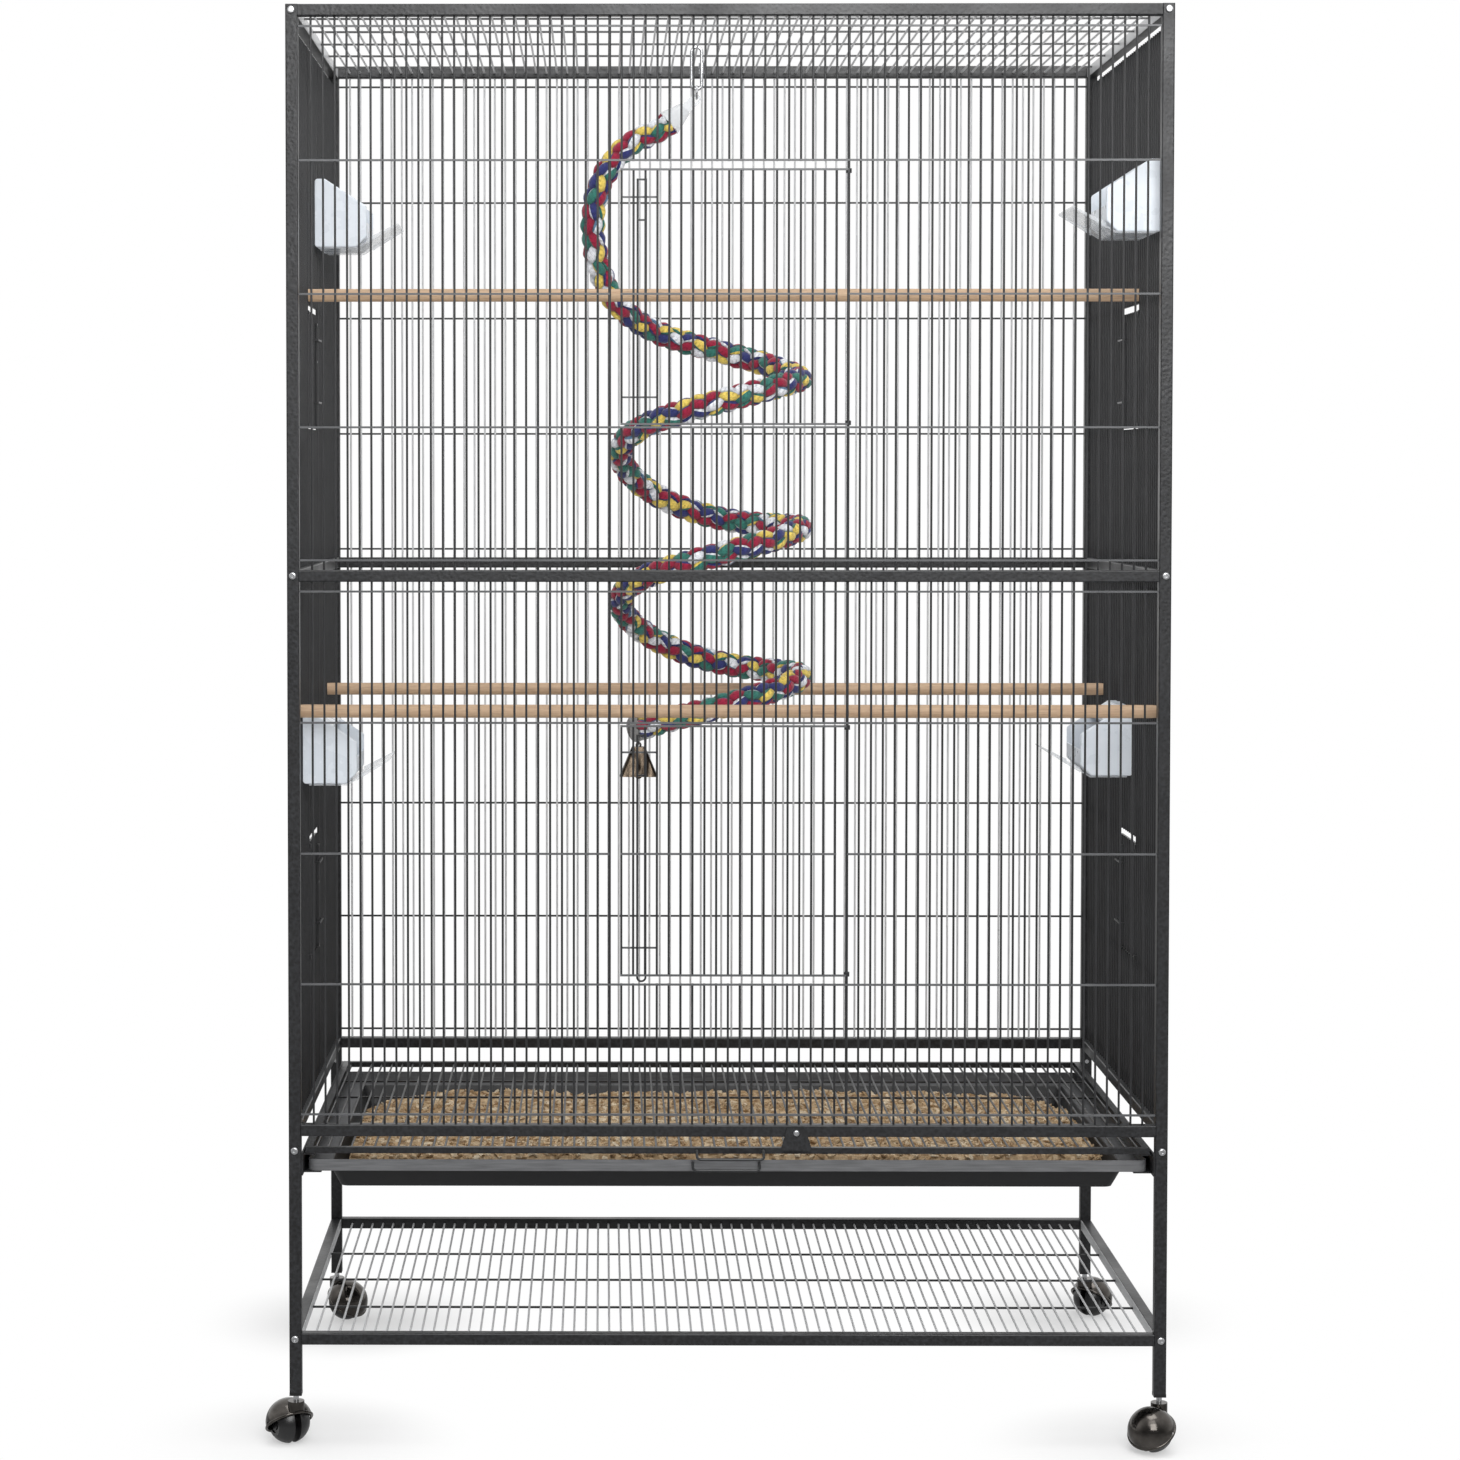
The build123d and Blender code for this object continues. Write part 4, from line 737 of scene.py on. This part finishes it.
bed_points, bed_faces = [], []
for j in range(BED_ROWS + 1):
    for i in range(BED_COLUMNS + 1):
        x, y = bed_place(i, j)
        z = TRAY_FLOOR + bed_top(x, y) + luck.uniform(0, BED_GRAIN)
        bed_points.append((x * MM, y * MM, z * MM))
for j in range(BED_ROWS):
    for i in range(BED_COLUMNS):
        a = j * (BED_COLUMNS + 1) + i
        if bed_top(*bed_place(i + 0.5, j + 0.5)) > BED_THINNEST:
            bed_faces.append((a, a + 1, a + BED_COLUMNS + 2, a + BED_COLUMNS + 1))
print("bed", len(bed_faces), "faces")

# %% [markdown]
# Loose chips are scattered over the bed, each a flat splinter with five or six uneven corners. Particles
# could scatter them too, but a plain loop leaves real faces that can be measured and exported. A place
# is drawn at random and kept more often where the heap is high, so its thin edge is only half covered.

# %% Loose chips
CHIPS = 6200
CHIP_LONG, CHIP_WIDE, CHIP_THICK = (5.0, 12.0), (3.0, 6.5), (0.9, 2.2)
CHIP_TILT = 0.3                                 # spread of the slope, rise over run
CORNER_TURN, CORNER_REACH = (-0.3, 0.3), (0.8, 1.1)
CHIP_LIFT = (0.3, 1.6)                          # of a chip's middle above the bed
COVER_HEIGHT = (0.2, 5.0)                       # where the heap is lower, fewer places are kept
EDGE_SPARE, BEHIND = 6, 4
chip_points, chip_faces, chip_tone = [], [], []


def chip(x, y, z):
    """One splinter: an uneven outline, thin, turned at random and lying nearly flat."""
    count = luck.choice((5, 6))
    length, width, thick = (luck.uniform(*span) for span in (CHIP_LONG, CHIP_WIDE, CHIP_THICK))
    spin, tilt, lean = luck.uniform(*ANY_ANGLE), luck.gauss(0, CHIP_TILT), luck.gauss(0, CHIP_TILT)
    first = len(chip_points)
    for level in (-0.5, 0.5):
        for k in range(count):
            a = 2 * math.pi * k / count + luck.uniform(*CORNER_TURN)
            u = length / 2 * math.cos(a) * luck.uniform(*CORNER_REACH)
            v = width / 2 * math.sin(a) * luck.uniform(*CORNER_REACH)
            px = u * math.cos(spin) - v * math.sin(spin)
            py = u * math.sin(spin) + v * math.cos(spin)
            pz = thick * level + px * tilt + py * lean
            chip_points.append(((x + px) * MM, (y + py) * MM, (z + pz) * MM))
    low, high = list(range(first, first + count)), list(range(first + count, first + 2 * count))
    sides = [(low[k], low[(k + 1) % count], high[(k + 1) % count], high[k]) for k in range(count)]
    made = [tuple(reversed(low)), tuple(high)] + sides
    chip_faces.extend(made)
    chip_tone.extend([luck.random()] * len(made))


placed = 0
while placed < CHIPS:
    x = luck.uniform(-BED_HALF + EDGE_SPARE, BED_HALF - EDGE_SPARE)
    y = luck.uniform(BED_FRONT + EDGE_SPARE, BED_BACK + BEHIND)
    top = bed_top(x, y)
    if top > luck.uniform(*COVER_HEIGHT):
        chip(x, y, TRAY_FLOOR + top + luck.uniform(*CHIP_LIFT))
        placed += 1
print("chips", placed, "faces", len(chip_faces))

# %% [markdown]
# Fresh softwood chips run from pale straw to light brown. Each chip carries one random number on its
# faces, and a colour ramp turns that number into its tone, so neighbours differ as they do in a real
# heap. A fine noise draws the fibres.

# %% Wood chip material
CHIP_TONES = ((0.0, "#9f8260"), (0.25, "#c0a27c"), (0.6, "#d6bc97"), (1.0, "#ebdbc0"))
FIBRE_MM = 1.8

chip_wood, tree, shader, place = start_material("softwood_chips")
tone_number = add_node(tree, "ShaderNodeAttribute", attribute_name="chip_tone").outputs["Fac"]
ramp = add_node(tree, "ShaderNodeValToRGB", {"Fac": tone_number})
stops = ramp.color_ramp.elements
stops.remove(stops[1])
for position, code in CHIP_TONES:
    stop = stops[0] if position == 0.0 else stops.new(position)
    stop.color = linear(code)
fibre = add_node(tree, "ShaderNodeTexNoise", {"Vector": place, "Scale": each(FIBRE_MM), "Detail": 4.0})
fibre_shade = add_node(tree, "ShaderNodeMapRange",
                       {"Value": fibre.outputs["Fac"], "From Min": 0.3, "From Max": 0.7,
                        "To Min": 0.7, "To Max": 1.08})
chip_colour = add_node(tree, "ShaderNodeMix",
                       {"Factor": 1.0, "A": ramp.outputs[0], "B": fibre_shade.outputs[0]},
                       data_type="RGBA", blend_type="MULTIPLY")
bump = add_node(tree, "ShaderNodeBump",
                {"Height": fibre.outputs["Fac"], "Strength": 0.5, "Distance": 0.4 * MM})
fill(tree, shader, {"Base Color": chip_colour.outputs["Result"], "Normal": bump.outputs[0],
                    "Roughness": 0.85})
print(chip_wood.name, len(stops), "tones")

# %% [markdown]
# The bed and the chips become two pieces that ride on the tray, so the litter slides out with it. The
# bed stays in the darker tones, because it lies in the shade of the chips.

# %% Lay the litter
BED_TONES = (0.0, 0.7)


def litter_piece(name, points, faces, tones):
    mesh = bpy.data.meshes.new(name)
    mesh.from_pydata(points, [], faces)
    mesh.attributes.new("chip_tone", "FLOAT", "FACE").data.foreach_set("value", tones)
    mesh.materials.append(chip_wood)
    mesh.update()
    piece = bpy.data.objects.new(name, mesh)
    scene.collection.objects.link(piece)
    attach(piece, "tray")


litter_piece("litter_bed", bed_points, bed_faces, [luck.uniform(*BED_TONES) for _ in bed_faces])
litter_piece("litter_chips", chip_points, chip_faces, chip_tone)
print("litter", len(bed_faces) + len(chip_faces), "faces")

# %% [markdown]
# ## Floor and light
# A studio shot on white: the only shadow left in such a picture is the soft one close round each caster.
# The floor is plain matte white there and turns to pure white, as the camera and the polished metal see
# it, further out. The first cell measures how far a point of the floor is from the nearest caster.

# %% Floor
FLOOR_R, FLOOR_SIDES = 14.0, 96
SHADOW_NEAR, SHADOW_FAR = 0.03, 0.17      # metres from a caster's middle: full shadow, none
SHADOW_SHARE = 0.55

bpy.ops.mesh.primitive_circle_add(vertices=FLOOR_SIDES, radius=FLOOR_R, fill_type="NGON")
floor = bpy.context.object
floor.name = "studio_floor"
floor_paint, tree, shader, place = start_material("white_studio_floor")
nearest = None
for corner in ("front_left", "front_right", "back_left", "back_right"):
    low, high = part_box(f"caster_wheels_{corner}")
    foot = tuple((a + b) / 2 for a, b in zip(low[:2], high[:2])) + (0.0,)
    away = add_node(tree, "ShaderNodeVectorMath", {0: place, 1: foot},
                    operation="DISTANCE").outputs["Value"]
    nearest = away if nearest is None else add_node(tree, "ShaderNodeMath", {0: nearest, 1: away},
                                                    operation="MINIMUM").outputs[0]
white_share = add_node(tree, "ShaderNodeMapRange",
                       {"Value": nearest, "From Min": SHADOW_NEAR, "From Max": SHADOW_FAR,
                        "To Min": 1.0 - SHADOW_SHARE, "To Max": 1.0},
                       interpolation_type="SMOOTHSTEP")
print("shadow kept within", SHADOW_FAR, "m of each caster")

# %% [markdown]
# The floor's surface is mixed from matte paint and plain white. Only rays from the camera, or by way of
# something polished or clear, get the white. All other light meets the matte floor, so the cage is lit
# as it would be on any pale floor.

# %% Floor surface
MIRRORED_FLOOR = 0.4                      # brightness of the floor as polished pieces mirror it

tree.nodes.remove(shader)
matte = add_node(tree, "ShaderNodeBsdfDiffuse", {"Color": linear("#f4f4f4")})
rays = add_node(tree, "ShaderNodeLightPath")
seen = add_node(tree, "ShaderNodeMath",
                {0: rays.outputs["Is Camera Ray"], 1: rays.outputs["Is Glossy Ray"]},
                operation="MAXIMUM")
seen = add_node(tree, "ShaderNodeMath", {0: seen.outputs[0], 1: rays.outputs["Is Transmission Ray"]},
                operation="MAXIMUM")
brightness = add_node(tree, "ShaderNodeMapRange",
                      {"Value": rays.outputs["Is Glossy Ray"], "To Min": 1.0, "To Max": MIRRORED_FLOOR})
glow = add_node(tree, "ShaderNodeEmission",
                {"Color": linear("#ffffff"), "Strength": brightness.outputs[0]})
share = add_node(tree, "ShaderNodeMath", {0: seen.outputs[0], 1: white_share.outputs[0]},
                 operation="MULTIPLY")
surface = add_node(tree, "ShaderNodeMixShader",
                   {"Fac": share.outputs[0], 1: matte.outputs[0], 2: glow.outputs[0]})
fill(tree, tree.nodes["Material Output"], {"Surface": surface.outputs[0]})
floor.data.materials.append(floor_paint)
print(floor_paint.name)

# %% [markdown]
# White walls of light stand at the back and the sides. Behind the camera the studio is dark, and what is
# polished mirrors that dark, so round pieces get dark fronts and bright edges.

# %% World
ROOM_LIGHT = 0.55
BRIGHT_SIDE = (0.0, 0.85, 0.5)                  # towards the back wall and up
MIRRORED_DARK, MIRRORED_BRIGHT = 0.2, 1.1       # brightness behind the camera and at the back wall

world = bpy.data.worlds.new("white_studio")
scene.world = world
world.use_nodes = True
tree = world.node_tree
rays = add_node(tree, "ShaderNodeLightPath")
heading = add_node(tree, "ShaderNodeTexCoord").outputs["Generated"]
towards_back = add_node(tree, "ShaderNodeVectorMath", {0: heading, 1: BRIGHT_SIDE},
                        operation="DOT_PRODUCT")
mirrored = add_node(tree, "ShaderNodeMapRange",
                    {"Value": towards_back.outputs["Value"], "From Min": -0.6, "From Max": 0.3,
                     "To Min": MIRRORED_DARK, "To Max": MIRRORED_BRIGHT},
                    interpolation_type="SMOOTHSTEP")
lit = add_node(tree, "ShaderNodeMix",
               {"Factor": rays.outputs["Is Glossy Ray"], "A": ROOM_LIGHT, "B": mirrored.outputs[0]},
               data_type="FLOAT")
seen = add_node(tree, "ShaderNodeMath",
                {0: rays.outputs["Is Camera Ray"], 1: rays.outputs["Is Transmission Ray"]},
                operation="MAXIMUM")
strength = add_node(tree, "ShaderNodeMix",
                    {"Factor": seen.outputs[0], "A": lit.outputs["Result"], "B": 1.0},
                    data_type="FLOAT")
fill(tree, tree.nodes["Background"],
     {"Color": linear("#ffffff"), "Strength": strength.outputs["Result"]})
print(world.name)

# %% [markdown]
# A large soft lamp hangs above and another stands in front. A third, about a metre wide, stands close in
# front of the top. It fades towards the floor, so the upper rails and the upper perch get the most light.

# %% Lamps
LAMPS = {"overhead_softbox": ((0.2, -0.4, 4.4), (0.0, 0.0, 0.6), 2.6, 70.0),    # place, target, size, watts
         "front_softbox": ((0.4, -4.0, 2.5), (0.0, 0.0, 0.7), 2.2, 95.0),
         "top_softbox": ((0.18, -1.4, 1.62), (0.02, 0.0, 1.2), 1.1, 9.0)}

for name, (place, target, size, power) in LAMPS.items():
    data = bpy.data.lights.new(name, "AREA")
    data.shape = "SQUARE"
    data.size = size
    data.energy = power
    softbox = bpy.data.objects.new(name, data)
    softbox.location = place
    softbox.rotation_euler = (Vector(target) - Vector(place)).to_track_quat("-Z", "Y").to_euler()
    scene.collection.objects.link(softbox)
